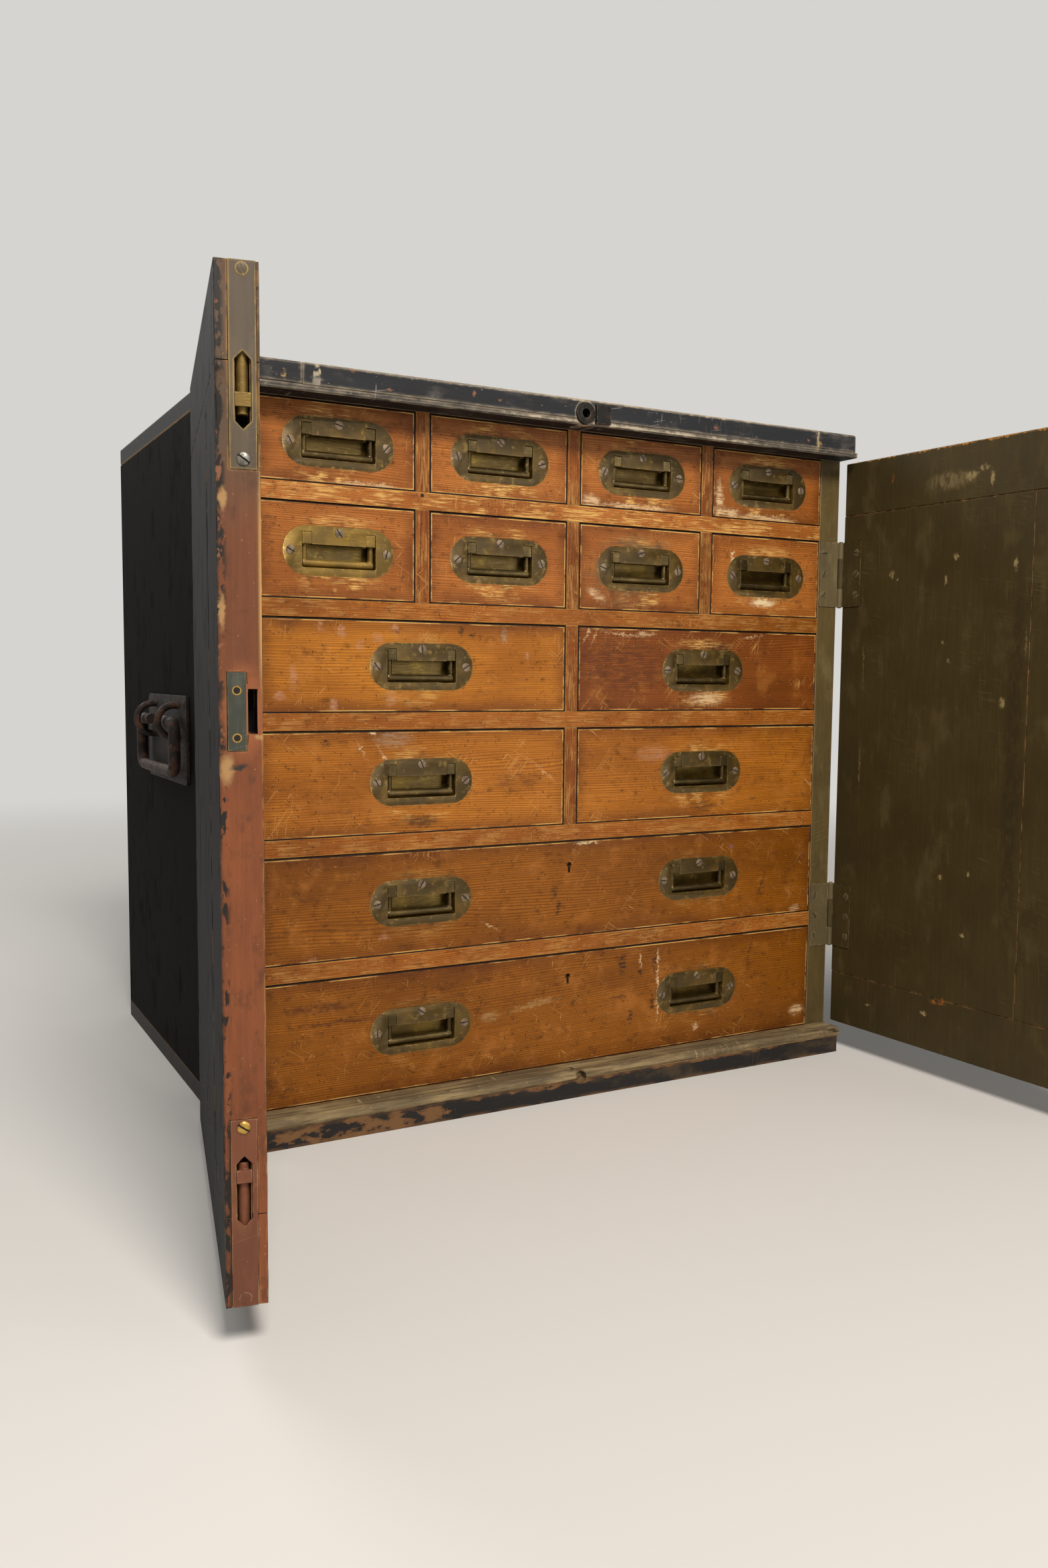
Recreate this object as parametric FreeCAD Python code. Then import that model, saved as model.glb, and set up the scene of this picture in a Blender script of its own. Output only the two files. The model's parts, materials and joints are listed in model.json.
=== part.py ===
import FreeCAD, Part
import math
import os

# Collectors cabinet with fourteen drawers behind two doors.
# x runs to the right as seen from the front, y from front to back, z up.
# The origin is on the surface the cabinet stands on, under the middle of its base.
# The doors are drawn closed and then turned to where they stand open.

V = FreeCAD.Vector

# Driving dimensions, in millimetres

# Case
inner_w = 630.0
side_t = 26.0
case_d = 481.0
row_heights = [72.0, 85.0, 85.0, 97.0, 98.0, 115.0]
row_counts = [4, 4, 2, 2, 1, 1]
rail_t = 16.0
rail_d = 60.0
rail_tenon = 8.0
tenon_t = 8.0
tenon_d = 36.0
tenon_in = 12.0
muntin_t = 14.0
muntin_d = 40.0
top_board_t = 18.4
top_strip_t = 5.1
base_board_t = 18.5
base_strip_t = 8.0
top_cleat_w = 57.0
cleat_tongue = 8.0
corner_r = 7.0
arris_r = 1.6
strip_set_back = 1.0
base_nosing_r = 6.0
back_t = 10.0
back_rebate = 14.0
back_lap = 6.0
back_boards_n = 4

# Drawer supports
runner_w = 34.0
centre_runner_w = 60.0
rear_rail_d = 30.0
guide_h = 12.0

# Drawers
drawer_rear_gap = 30.5
drawer_inset = 0.5
drawer_side_gap = 0.6
drawer_top_gap = 0.9
drawer_rest_gap = 0.3
front_t = 18.0
drawer_side_t = 10.0
drawer_back_t = 10.0
drawer_bottom_t = 6.0
bottom_up = 6.0
groove_in = 4.0
back_housing = 3.0
side_drop = 1.5
back_drop = 6.0
tail_len = 13.0
tail_pitch = 36.0
tail_share = 0.62
tail_slope = 2.2

# Pulls
plate_w = 104.0
plate_h = 43.5
plate_t = 2.2
end_flats = 10
recess_w = 69.5
recess_h = 20.5
recess_d = 12.0
recess_drop = 16.0
pan_wall = 2.0
pad_w = 9.3
pad_h = 11.0
pad_t = 3.6
notch_d = 9.0
arm_r = 2.6
bar_r = 3.4
bail_depth = 5.5
bail_side_gap = 1.0
bail_foot_gap = 0.9
pad_gap = 0.15
pivot_top = 2.1
stub_r = 0.9
stub_len = 1.4
stub_gap = 0.12

# Doors
door_t = 26.0
door_gap = 2.0
door_end_gap = 3.0
door_meeting_gap = 2.0
door_wide_board = 240.0
door_cleat_top = 57.0
door_cleat_foot = 58.0
tongue_t = 8.0
left_open_deg = 101.0
right_open_deg = 94.0

# Butt hinges
hinge_h = 71.0
hinge_up = 534.5
hinge_low = 152.3
leaf_t = 2.0
leaf_proud = 0.8
leaf_edge = 1.0
pin_out = 4.0
pin_r = 2.0
pin_fit = 0.05
pin_over = 1.0
barrel_r = 3.6
barrel_gap = 0.3
knuckle_gap = 0.2
knuckle_top = 18.0
knuckle_foot = 20.0

# Flush bolts in the left door's edge
bolt_plate_w = 16.0
bolt_plate_len = 118.5
bolt_plate_t = 2.0
bolt_slot_w = 9.8
bolt_slot_near = 51.0
bolt_slot_far = 95.5
bolt_slot_point = 5.0
top_bolt_in = 10.0
foot_bolt_in = 14.0
top_thumb = 78.5
foot_thumb = 82.5
thumb_h = 8.0
thumb_gap = 0.3
thumb_neck = 5.6
bolt_r = 3.5
bolt_play = 0.5
bolt_travel = 14.0
bolt_shy = 0.5

# Keep plate and mortise in the left door's edge, lock in the right door
keep_w = 11.0
keep_h = 46.6
keep_in = 15.35
lock_z = 395.95
lock_in = 6.05
mortise_w = 5.3
mortise_h = 26.3
mortise_d = 14.0
lock_case_w = 60.0
lock_case_h = 56.0
lock_case_t = 13.0
selvedge_w = 14.0
selvedge_h = 76.0
lock_bolt_t = 4.6
lock_bolt_h = 24.0
lock_bolt_len = 34.0
lock_travel = 9.0
lock_play = 0.3
door_key_in = 42.0

# Drawer locks
drawer_lock_w = 60.0
drawer_lock_h = 42.0
drawer_key_drop = 24.0
drawer_bolt_w = 22.0
drawer_bolt_len = 25.2
drawer_bolt_back = 7.0
drawer_bolt_travel = 7.0
key_r = 2.6
key_slot = 8.0
key_slot_w = 2.6

# Chest handles
handle_y = 240.0
handle_plate_w = 174.0
handle_plate_z = 353.0
handle_plate_h = 88.0
handle_plate_t = 3.0
handle_corner_r = 6.0
staple_y = 50.0
staple_r = 3.4
staple_feet = 32.0
staple_reach = 26.0
staple_up = 18.0
handle_r = 5.75
handle_off = 12.4
handle_leg_y = 77.0
handle_end_len = 48.0
handle_drop = 49.0
handle_bend = 12.0
bend_flats = 3

# Boss and stud in the front of the top board, and the hole in the base
boss_x = -4.5
boss_up = 5.4
boss_r = 10.3
boss_bore = 4.4
boss_proud = 1.6
boss_d = 9.0
stud_x = 14.0
stud_w = 16.0
stud_h = 18.0
stud_proud = 3.5
base_hole_x = 1.0
base_hole_z = 20.5
base_hole_r = 5.25
base_hole_d = 8.0

# Places that follow from these sizes
case_w = inner_w + 2 * side_t
overhang = door_t + door_gap
depth = case_d + overhang
y_edge = -depth / 2
y_face = y_edge + overhang
y_back = depth / 2
y_inside = y_back - back_t
z_side0 = base_board_t
z_open0 = base_board_t + base_strip_t
z_open1 = z_open0 + sum(row_heights) + rail_t * (len(row_heights) - 1)
z_side1 = z_open1 + top_strip_t
case_h = z_side1 + top_board_t
y_front = y_face + drawer_inset
y_door = y_face - door_gap
pin_x = case_w / 2 + pin_out
pin_y = y_face - door_gap / 2
door_z0 = z_open0 + door_end_gap
door_z1 = z_open1 - door_end_gap
door_x0 = door_meeting_gap / 2
door_x1 = case_w / 2
pivot_in = pad_t / 2
drawer_len = case_d - back_t - drawer_inset - drawer_rear_gap
handle_z = handle_plate_z + staple_up
boss_z = z_side1 + boss_up

# Cutters run this far past the faces they open
past = 1.0


def box(x0, x1, y0, y1, z0, z1):
    return Part.makeBox(x1 - x0, y1 - y0, z1 - z0, V(x0, y0, z0))


def rod(start, direction, radius, length):
    return Part.makeCylinder(radius, length, start, direction)


def prism(points, sweep):
    face = Part.Face(Part.makePolygon(points + [points[0]]))
    return face.extrude(sweep)


def flat_sided(sides, start, direction, across, radius):
    """A bar with flat sides, radius from its middle to a flat, along direction."""
    side = direction.cross(across).normalize()
    reach = radius / math.cos(math.pi / sides)
    corners = []
    for i in range(sides):
        turn = 2 * math.pi * (i + 0.5) / sides
        corners.append(start + across * (reach * math.cos(turn)) + side * (reach * math.sin(turn)))
    return prism(corners, direction)


def bend_points(stops, bend):
    """The way through the stops, with each square corner taken in a few short lengths."""
    way = [stops[0]]
    for i in range(1, len(stops) - 1):
        before = (stops[i - 1] - stops[i]).normalize()
        after = (stops[i + 1] - stops[i]).normalize()
        centre = stops[i] + (before + after) * bend
        for k in range(bend_flats + 1):
            turn = math.pi / 2 * k / bend_flats
            here = centre - after * (bend * math.cos(turn)) - before * (bend * math.sin(turn))
            if (here - way[-1]).Length > 0.001:
                way.append(here)
    return way + [stops[-1]]


def bent_bar(stops, bend, radius, across):
    """A bar with eight flats along a bent way; across is square to the plane it is bent in."""
    way = bend_points(stops, bend)
    reach = radius / math.cos(math.pi / 8)
    rings = []
    for i, here in enumerate(way):
        before = (here - way[i - 1]).normalize() if i > 0 else (way[1] - here).normalize()
        after = (way[i + 1] - here).normalize() if i < len(way) - 1 else before
        ahead = (before + after).normalize()
        mitre = across.cross(ahead) * (1 / ahead.dot(before))
        ring = []
        for k in range(8):
            turn = 2 * math.pi * (k + 0.5) / 8
            ring.append(here + across * (reach * math.cos(turn)) + mitre * (reach * math.sin(turn)))
        rings.append(ring)
    faces = [Part.Face(Part.makePolygon(ring + [ring[0]])) for ring in (rings[0], rings[-1])]
    for near, far in zip(rings[:-1], rings[1:]):
        for k in range(8):
            side = [near[k], near[k - 1], far[k - 1], far[k], near[k]]
            faces.append(Part.Face(Part.makePolygon(side)))
    bar = Part.Solid(Part.Shell(faces))
    return bar if bar.Volume > 0 else bar.reversed()


def stadium(cx, cz, width, height, y, deep):
    """A plate with half-round ends, standing in the plane of the front."""
    r = height / 2
    half = width / 2 - r
    corners = []
    for s in (1, -1):
        for i in range(end_flats + 1):
            turn = math.pi * (i / end_flats - 0.5)
            corners.append(V(cx + s * (half + r * math.cos(turn)), y, cz + s * r * math.sin(turn)))
    return prism(corners, V(0, deep, 0))


def fuse(shapes):
    whole = shapes[0].fuse(shapes[1:]) if len(shapes) > 1 else shapes[0]
    return whole.removeSplitter()


def cut(shape, tools):
    return shape.cut(tools) if tools else shape


def mirrored(shapes):
    return [s.mirror(V(0, 0, 0), V(1, 0, 0)) for s in shapes]


def save(name, shapes):
    solids = []
    for shape in shapes:
        solids.extend(shape.Solids)
    Part.makeCompound(solids).exportStep("parts/" + name + ".step")


def rows():
    """Lower and upper edge of each row's opening, top row first."""
    out = []
    top = z_open1
    for height in row_heights:
        out.append((top - height, top))
        top -= height + rail_t
    return out


def cells():
    """Every drawer's opening: name, row, left, right, lower and upper edge."""
    out = []
    for row, (z0, z1) in enumerate(rows()):
        count = row_counts[row]
        wide = (inner_w - (count - 1) * muntin_t) / count
        for i in range(count):
            x0 = -inner_w / 2 + i * (wide + muntin_t)
            letter = "abcd"[i] if count > 1 else ""
            out.append((str(row + 1) + letter, row, x0, x0 + wide, z0, z1))
    return out


def pull_centres(x0, x1, z0, z1):
    """A wide drawer has two pulls, at the middle of each half."""
    cz = (z0 + drawer_rest_gap + z1 - drawer_top_gap) / 2
    if x1 - x0 > inner_w / 2:
        quarter = (x1 - x0 + muntin_t) / 4
        return [((x0 + x1) / 2 - quarter, cz), ((x0 + x1) / 2 + quarter, cz)]
    return [((x0 + x1) / 2, cz)]


# Case

def top_board():
    """A panel with a cleat across each end, and the thin strip under its front edge."""
    half = case_w / 2
    seam = half - top_cleat_w
    mid = z_side1 + top_board_t / 2
    tongue = box(-seam - cleat_tongue, seam + cleat_tongue, y_edge + top_cleat_w, y_back,
                 mid - tongue_t / 2, mid + tongue_t / 2)
    panel = fuse([box(-seam, seam, y_edge, y_back, z_side1, case_h), tongue])
    cleat = box(seam, half, y_edge, y_back, z_side1, case_h)
    cleat = cleat.makeFillet(corner_r, upright_edges(cleat, half, y_edge))
    cleat = cleat.cut(tongue)
    strip = box(-half, half, y_edge + strip_set_back, y_face, z_open1, z_side1)
    strip = strip.makeFillet(arris_r, front_edges(strip, y_edge + strip_set_back, z_open1))
    holes = [boss_bed(), stud_bed()] + bolt_sockets()
    pieces = [panel, cleat] + mirrored([cleat]) + [strip]
    return [cut(p, holes) for p in pieces]


def base_board():
    """The base, and the worn strip with a rounded nose along its front edge."""
    half = case_w / 2
    board = box(-half, half, y_edge, y_back, 0, base_board_t)
    corners = upright_edges(board, half, y_edge) + upright_edges(board, -half, y_edge)
    board = board.makeFillet(corner_r, corners)
    strip = box(-half, half, y_edge + strip_set_back, y_face, base_board_t, z_open0)
    strip = strip.makeFillet(base_nosing_r, front_edges(strip, y_edge + strip_set_back, z_open0))
    hole = rod(V(base_hole_x, y_edge - past, base_hole_z), V(0, 1, 0), base_hole_r, base_hole_d + past)
    holes = [hole] + bolt_sockets()
    return [cut(board, holes), cut(strip, holes)]


def upright_edges(shape, x, y):
    found = []
    for e in shape.Edges:
        a, b = e.Vertexes[0].Point, e.Vertexes[-1].Point
        if abs(a.x - x) + abs(b.x - x) + abs(a.y - y) + abs(b.y - y) < 0.01:
            found.append(e)
    return found


def front_edges(shape, y, z):
    found = []
    for e in shape.Edges:
        a, b = e.Vertexes[0].Point, e.Vertexes[-1].Point
        if abs(a.y - y) + abs(b.y - y) + abs(a.z - z) + abs(b.z - z) < 0.01:
            found.append(e)
    return found


def boss_bed():
    return rod(V(boss_x, y_edge - past, boss_z), V(0, 1, 0), boss_r, boss_d + past)


def stud_bed():
    return rod(V(stud_x, y_edge - past, boss_z), V(0, 1, 0), boss_bore, boss_d + past)


def boss():
    """Iron ferrule with a raised rim, and the square head of the stud beside it."""
    ring = rod(V(boss_x, y_edge - boss_proud, boss_z), V(0, 1, 0), boss_r, boss_d + boss_proud)
    ring = ring.cut(rod(V(boss_x, y_edge - boss_proud - past, boss_z), V(0, 1, 0), boss_bore,
                        boss_d + boss_proud + 2 * past))
    head = box(stud_x - stud_w / 2, stud_x + stud_w / 2, y_edge - stud_proud, y_edge,
               boss_z - stud_h / 2, boss_z + stud_h / 2)
    shank = rod(V(stud_x, y_edge, boss_z), V(0, 1, 0), boss_bore, boss_d)
    return [ring, fuse([head, shank])]


def bolt_axis(inward):
    """Where a flush bolt stands in the closed left door."""
    return -(door_x0 + bolt_plate_t + thumb_gap + bolt_r), y_door - inward


def bolt_sockets():
    out = []
    reach = bolt_travel + bolt_play
    for inward, z in ((top_bolt_in, door_z1), (foot_bolt_in, door_z0 - reach)):
        x, y = bolt_axis(inward)
        out.append(rod(V(x, y, z), V(0, 0, 1), bolt_r + bolt_play, reach))
    return out


def rail_levels():
    """Underside of each rail between two rows, the highest first."""
    return [z0 - rail_t for z0, z1 in rows()[:-1]]


def tenons(z):
    """The stubs at both ends of a rail, which enter the sides."""
    half = inner_w / 2
    y0 = y_face + tenon_in
    z0 = z + (rail_t - tenon_t) / 2
    return [box(-half - rail_tenon, -half, y0, y0 + tenon_d, z0, z0 + tenon_t),
            box(half, half + rail_tenon, y0, y0 + tenon_d, z0, z0 + tenon_t)]


def carcase_walls():
    """Two sides with a rebate for the back, and lapped back boards."""
    half = case_w / 2
    side = box(inner_w / 2, half, y_face, y_back, z_side0, z_side1)
    rebate = box(inner_w / 2, inner_w / 2 + back_rebate, y_inside, y_back, z_side0, z_side1)
    mortises = [tenons(z)[1] for z in rail_levels()]
    side = cut(side, [rebate] + mortises + [leaf_bed(z) for z in (hinge_up, hinge_low)])
    out = [side] + mirrored([side])
    span = inner_w + 2 * back_rebate
    wide = span / back_boards_n
    mid = y_inside + back_t / 2
    for i in range(back_boards_n):
        x0 = -span / 2 + i * wide
        x1 = x0 + wide
        left = x0 - back_lap if i > 0 else x0
        right = x1 - back_lap if i < back_boards_n - 1 else x1
        front = [V(x0, y_inside, z_side0), V(x1, y_inside, z_side0)]
        rear = [V(x1, mid, z_side0), V(right, mid, z_side0), V(right, y_back, z_side0),
                V(left, y_back, z_side0), V(left, mid, z_side0), V(x0, mid, z_side0)]
        outline = []
        for p in front + rear:
            if not outline or (p - outline[-1]).Length > 0.001:
                outline.append(p)
        out.append(prism(outline, V(0, 0, z_side1 - z_side0)))
    return out


def drawer_dividers():
    """Rails and muntins at the front, and the runners, guides and rear rails behind."""
    half = inner_w / 2
    y_rail = y_face + rail_d
    y_rear = y_inside - rear_rail_d
    out = []
    for i, z in enumerate(rail_levels()):
        rail = fuse([box(-half, half, y_face, y_rail, z, z + rail_t)] + tenons(z))
        if row_counts[i + 1] == 1:
            rail = rail.cut(lock_mortise(z))
        out.append(rail)
        out.append(box(-half, half, y_rear, y_inside, z, z + rail_t))
        out += runners(y_rail, y_rear, z, z + rail_t, row_counts[i])
    out.append(box(-half, half, y_face, y_rail, base_board_t, z_open0))
    out += runners(y_rail, y_inside, base_board_t, z_open0, row_counts[-1])
    out.append(box(-half, half, y_face, y_rail, z_open1, z_side1))
    out += runners(y_rail, y_inside, z_open1, z_side1, row_counts[0])
    for row, (z0, z1) in enumerate(rows()):
        for x in muntin_places(row_counts[row]):
            out.append(box(x, x + muntin_t, y_face, y_face + muntin_d, z0, z1))
            out.append(box(x, x + muntin_t, y_face + muntin_d, y_rear, z0, z0 + guide_h))
    return out


def muntin_places(count):
    wide = (inner_w - (count - 1) * muntin_t) / count
    return [-inner_w / 2 + i * (wide + muntin_t) - muntin_t for i in range(1, count)]


def runners(y0, y1, z0, z1, count):
    half = inner_w / 2
    out = [box(-half, -half + runner_w, y0, y1, z0, z1), box(half - runner_w, half, y0, y1, z0, z1)]
    for x in muntin_places(count):
        mid = x + muntin_t / 2
        out.append(box(mid - centre_runner_w / 2, mid + centre_runner_w / 2, y0, y1, z0, z1))
    return out


def lock_mortise(z):
    """The slot in a rail's underside for the bolt of the drawer below it."""
    y = y_front + front_t - drawer_bolt_back
    half = drawer_bolt_w / 2 + bolt_play
    thick = lock_bolt_t / 2 + bolt_play
    return box(-half, half, y - thick, y + thick, z, z + drawer_bolt_travel + bolt_play)


# Drawers and their pulls

def drawer(x0, x1, z0, z1):
    """Front, two sides, back and bottom, dovetailed at the front corners."""
    fx0 = x0 + drawer_side_gap
    fx1 = x1 - drawer_side_gap
    fz0 = z0 + drawer_rest_gap
    fz1 = z1 - drawer_top_gap
    y_rear_face = y_front + front_t
    y_end = y_front + drawer_len
    sz1 = fz1 - side_drop
    floor = fz0 + bottom_up
    front = box(fx0, fx1, y_front, y_rear_face, fz0, fz1)
    bottom = box(fx0 + drawer_side_t - groove_in, fx1 - drawer_side_t + groove_in,
                 y_rear_face - groove_in, y_end, floor, floor + drawer_bottom_t)
    back = box(fx0 + drawer_side_t - back_housing, fx1 - drawer_side_t + back_housing,
               y_end - drawer_back_t - back_housing, y_end - back_housing,
               floor + drawer_bottom_t, sz1 - back_drop)
    sides = []
    tails = []
    for sx in (fx0, fx1 - drawer_side_t):
        side_tails = dovetails(sx, fz0, sz1, y_rear_face)
        board = box(sx, sx + drawer_side_t, y_rear_face, y_end, fz0, sz1)
        sides.append(cut(fuse([board] + side_tails), [bottom, back]))
        tails += side_tails
    beds = [bottom] + tails
    for cx, cz in pull_centres(x0, x1, z0, z1):
        beds.append(stadium(cx, cz, plate_w, plate_h, y_front, plate_t))
        beds.append(pan_block(cx, cz))
    if x1 - x0 > inner_w / 2:
        beds += [lock_block(z1), selvedge(z1), key_hole(0, fz1 - drawer_key_drop, y_front)]
    return [cut(front, beds)] + sides + [back, bottom]


def dovetails(sx, z0, z1, y_root):
    """Tails on the end of a drawer side, wide at the tip, in the thickness of the front."""
    count = int(round((z1 - z0) / tail_pitch))
    pitch = (z1 - z0) / count
    tip = pitch * tail_share / 2
    root = tip - tail_slope
    out = []
    for i in range(count):
        zc = z0 + (i + 0.5) * pitch
        outline = [V(sx, y_root, zc - root), V(sx, y_root - tail_len, zc - tip),
                   V(sx, y_root - tail_len, zc + tip), V(sx, y_root, zc + root)]
        out.append(prism(outline, V(drawer_side_t, 0, 0)))
    return out


def pull_levels(cz):
    """Foot and head of the recess, and head of the notches over it."""
    head = cz + plate_h / 2 - recess_drop
    return head - recess_h, head, head + pad_h


def pan_block(cx, cz):
    foot, head, notch = pull_levels(cz)
    half = recess_w / 2 + pan_wall
    return box(cx - half, cx + half, y_front, y_front + recess_d + pan_wall,
               foot - pan_wall, notch + pan_wall)


def pull_plate(cx, cz):
    """A brass plate with half-round ends and the pan that the bail lies in."""
    foot, head, notch = pull_levels(cz)
    half = recess_w / 2
    slot = stub_r + stub_gap
    y_pivot = y_front + pivot_in
    z_pivot = notch - pivot_top
    body = fuse([stadium(cx, cz, plate_w, plate_h, y_front, plate_t), pan_block(cx, cz)])
    hollows = [box(cx - half, cx + half, y_front, y_front + recess_d, foot, head)]
    for s in (-1, 1):
        near = cx + s * half
        far = cx + s * (half - pad_w - 2 * pad_gap)
        hollows.append(box(min(near, far), max(near, far), y_front, y_front + notch_d, head, notch))
        deep = cx + s * (half + stub_len)
        hollows.append(box(min(near, deep), max(near, deep), y_pivot - slot, y_pivot + slot,
                           z_pivot - slot, z_pivot + slot))
    return cut(body, hollows)


def bail(cx, cz):
    """The swinging handle: square ears, two arms, a stout bar and the stubs it turns on."""
    foot, head, notch = pull_levels(cz)
    half = recess_w / 2
    y_pivot = y_front + pivot_in
    z_pivot = notch - pivot_top
    y_bar = y_front + bail_depth
    z_bar = foot + bail_foot_gap + bar_r
    outer = half - bail_side_gap
    parts = [flat_sided(8, V(cx - outer, y_bar, z_bar), V(2 * outer, 0, 0), V(0, 0, 1), bar_r)]
    for s in (-1, 1):
        x_arm = cx + s * (outer - arm_r)
        z_arm = head + pad_h / 3
        parts.append(flat_sided(8, V(x_arm, y_bar, z_bar), V(0, 0, z_arm - z_bar), V(1, 0, 0), arm_r))
        edge = cx + s * (half - pad_gap)
        x_pad = min(edge, edge - s * pad_w)
        parts.append(box(x_pad, x_pad + pad_w, y_front, y_front + pad_t, head, z_pivot))
        parts.append(flat_sided(8, V(x_pad, y_pivot, z_pivot), V(pad_w, 0, 0), V(0, 1, 0), pivot_in))
        root = V(edge - s * pad_w / 2, y_pivot, z_pivot)
        reach = pad_w / 2 + pad_gap + stub_len - stub_gap
        parts.append(flat_sided(8, root, V(s * reach, 0, 0), V(0, 1, 0), stub_r))
    return fuse(parts)


def key_hole(x, z, y):
    """A round hole with a slot under it, seen from the front."""
    deep = front_t
    eye = flat_sided(12, V(x, y, z), V(0, deep, 0), V(1, 0, 0), key_r)
    slot = box(x - key_slot_w / 2, x + key_slot_w / 2, y, y + deep, z - key_slot, z)
    return fuse([eye, slot])


def lock_block(z1):
    """The lock let into the inside of a wide drawer's front."""
    top = z1 - drawer_top_gap - bolt_plate_t
    y1 = y_front + front_t
    return box(-drawer_lock_w / 2, drawer_lock_w / 2, y1 - lock_case_t, y1,
               top - drawer_lock_h, top)


def selvedge(z1):
    top = z1 - drawer_top_gap
    y1 = y_front + front_t
    return box(-selvedge_h / 2, selvedge_h / 2, y1 - selvedge_w, y1, top - bolt_plate_t, top)


def drawer_bolt(z1, play):
    """The bolt of a drawer lock, drawn back flush with the top of the front."""
    top = z1 - drawer_top_gap
    y = y_front + front_t - drawer_bolt_back
    half = drawer_bolt_w / 2 + play
    thick = lock_bolt_t / 2 + play
    return box(-half, half, y - thick, y + thick, top - drawer_bolt_len - play, top)


def drawer_lock(z1):
    case = fuse([lock_block(z1), selvedge(z1)])
    return cut(case, [drawer_bolt(z1, lock_play), key_pocket(z1)])


def key_pocket(z1):
    """Where the key enters the lock's cap, in line with the keyhole."""
    z = z1 - drawer_top_gap - drawer_key_drop
    return key_hole(0, z, y_front - lock_case_t)


# Doors, drawn closed on the right-hand side

def door_boards(pockets):
    """Two upright boards tongued together, with a tongued cleat across each end."""
    z0 = door_z0 + door_cleat_foot
    z1 = door_z1 - door_cleat_top
    y0 = y_door - door_t
    seam = door_x1 - door_wide_board
    mid = y_door - door_t / 2
    ty0 = mid - tongue_t / 2
    ty1 = mid + tongue_t / 2
    tongue = box(seam - cleat_tongue, seam, ty0, ty1, z0, z1)
    wide_end = box(seam, door_x1, ty0, ty1, z0 - cleat_tongue, z1 + cleat_tongue)
    narrow_end = box(door_x0, seam - cleat_tongue, ty0, ty1, z0 - cleat_tongue, z1 + cleat_tongue)
    wide = fuse([box(seam, door_x1, y0, y_door, z0, z1), tongue, wide_end])
    narrow = fuse([box(door_x0, seam, y0, y_door, z0, z1), narrow_end]).cut(tongue)
    foot = box(door_x0, door_x1, y0, y_door, door_z0, z0).cut([wide_end, narrow_end])
    head = box(door_x0, door_x1, y0, y_door, z1, door_z1).cut([wide_end, narrow_end])
    beds = pockets + [door_leaf_bed(z) for z in (hinge_up, hinge_low)]
    return [cut(board, beds) for board in (wide, narrow, foot, head)]


def open_door(shapes, angle, hand):
    """Turn what was drawn closed on the right about its hinge pins; hand is 1 right, -1 left."""
    turned = shapes if hand > 0 else mirrored(shapes)
    out = []
    for s in turned:
        s = s.copy()
        s.rotate(V(hand * pin_x, pin_y, 0), V(0, 0, hand), angle)
        out.append(s)
    return out


def knuckle_z(zc):
    foot = zc - hinge_h / 2
    head = zc + hinge_h / 2
    return foot, foot + knuckle_foot, head - knuckle_top, head


def leaf_bed(zc):
    half = hinge_h / 2
    return box(inner_w / 2 + leaf_edge, case_w / 2, y_face, y_face + leaf_t - leaf_proud,
               zc - half, zc + half)


def door_leaf_bed(zc):
    half = hinge_h / 2
    return box(inner_w / 2 + leaf_edge, door_x1, y_door - leaf_t + leaf_proud, y_door,
               zc - half, zc + half)


def barrel(z0, z1):
    return flat_sided(12, V(pin_x, pin_y, z0), V(0, 0, z1 - z0), V(1, 0, 0), barrel_r)


def barrel_room(z0, z1):
    """The notch in a leaf that the other leaf's knuckle turns in."""
    room = barrel_r + barrel_gap
    return box(pin_x - room, pin_x + room, pin_y - room, pin_y + room, z0, z1)


def case_leaf(zc):
    """Hinge leaf on the side's front edge, with the upper and lower knuckles."""
    foot, low, up, head = knuckle_z(zc)
    y0 = y_face - leaf_proud
    plate = box(inner_w / 2 + leaf_edge, pin_x, y0, y0 + leaf_t, foot, head)
    bore = rod(V(pin_x, pin_y, foot), V(0, 0, 1), pin_r, hinge_h)
    return fuse([plate, barrel(foot, low), barrel(up, head)]).cut([barrel_room(low, up), bore])


def door_leaf(zc):
    """Hinge leaf on the door's inner face, with the middle knuckle."""
    foot, low, up, head = knuckle_z(zc)
    y1 = y_door + leaf_proud
    plate = box(inner_w / 2 + leaf_edge, pin_x, y1 - leaf_t, y1, foot, head)
    middle = barrel(low + knuckle_gap, up - knuckle_gap)
    rooms = [barrel_room(foot, low + knuckle_gap), barrel_room(up - knuckle_gap, head)]
    bore = rod(V(pin_x, pin_y, foot), V(0, 0, 1), pin_r + pin_fit, hinge_h)
    return fuse([plate, middle]).cut(rooms + [bore])


def hinge_pin(zc):
    start = V(pin_x, pin_y, zc - hinge_h / 2 - pin_over)
    return rod(start, V(0, 0, 1), pin_r, hinge_h + 2 * pin_over)


def bolt_end(upper):
    """End of the door the bolt comes out of, and the way it points."""
    return (door_z1, 1) if upper else (door_z0, -1)


def span(end, way, near, far):
    a = end - way * near
    b = end - way * far
    return min(a, b), max(a, b)


def bolt_beds(upper, inward):
    """Bed of the plate and the channel behind it."""
    end, way = bolt_end(upper)
    y = y_door - inward
    z0, z1 = span(end, way, 0, bolt_plate_len)
    plate = box(door_x0, door_x0 + bolt_plate_t, y - bolt_plate_w / 2, y + bolt_plate_w / 2, z0, z1)
    c0, c1 = span(end, way, 0, bolt_slot_far + thumb_h)
    half = bolt_r + bolt_play
    channel = box(door_x0, door_x0 + bolt_plate_t + thumb_gap + 2 * bolt_r + bolt_play,
                  y - half, y + half, c0, c1)
    return [plate, channel]


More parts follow.
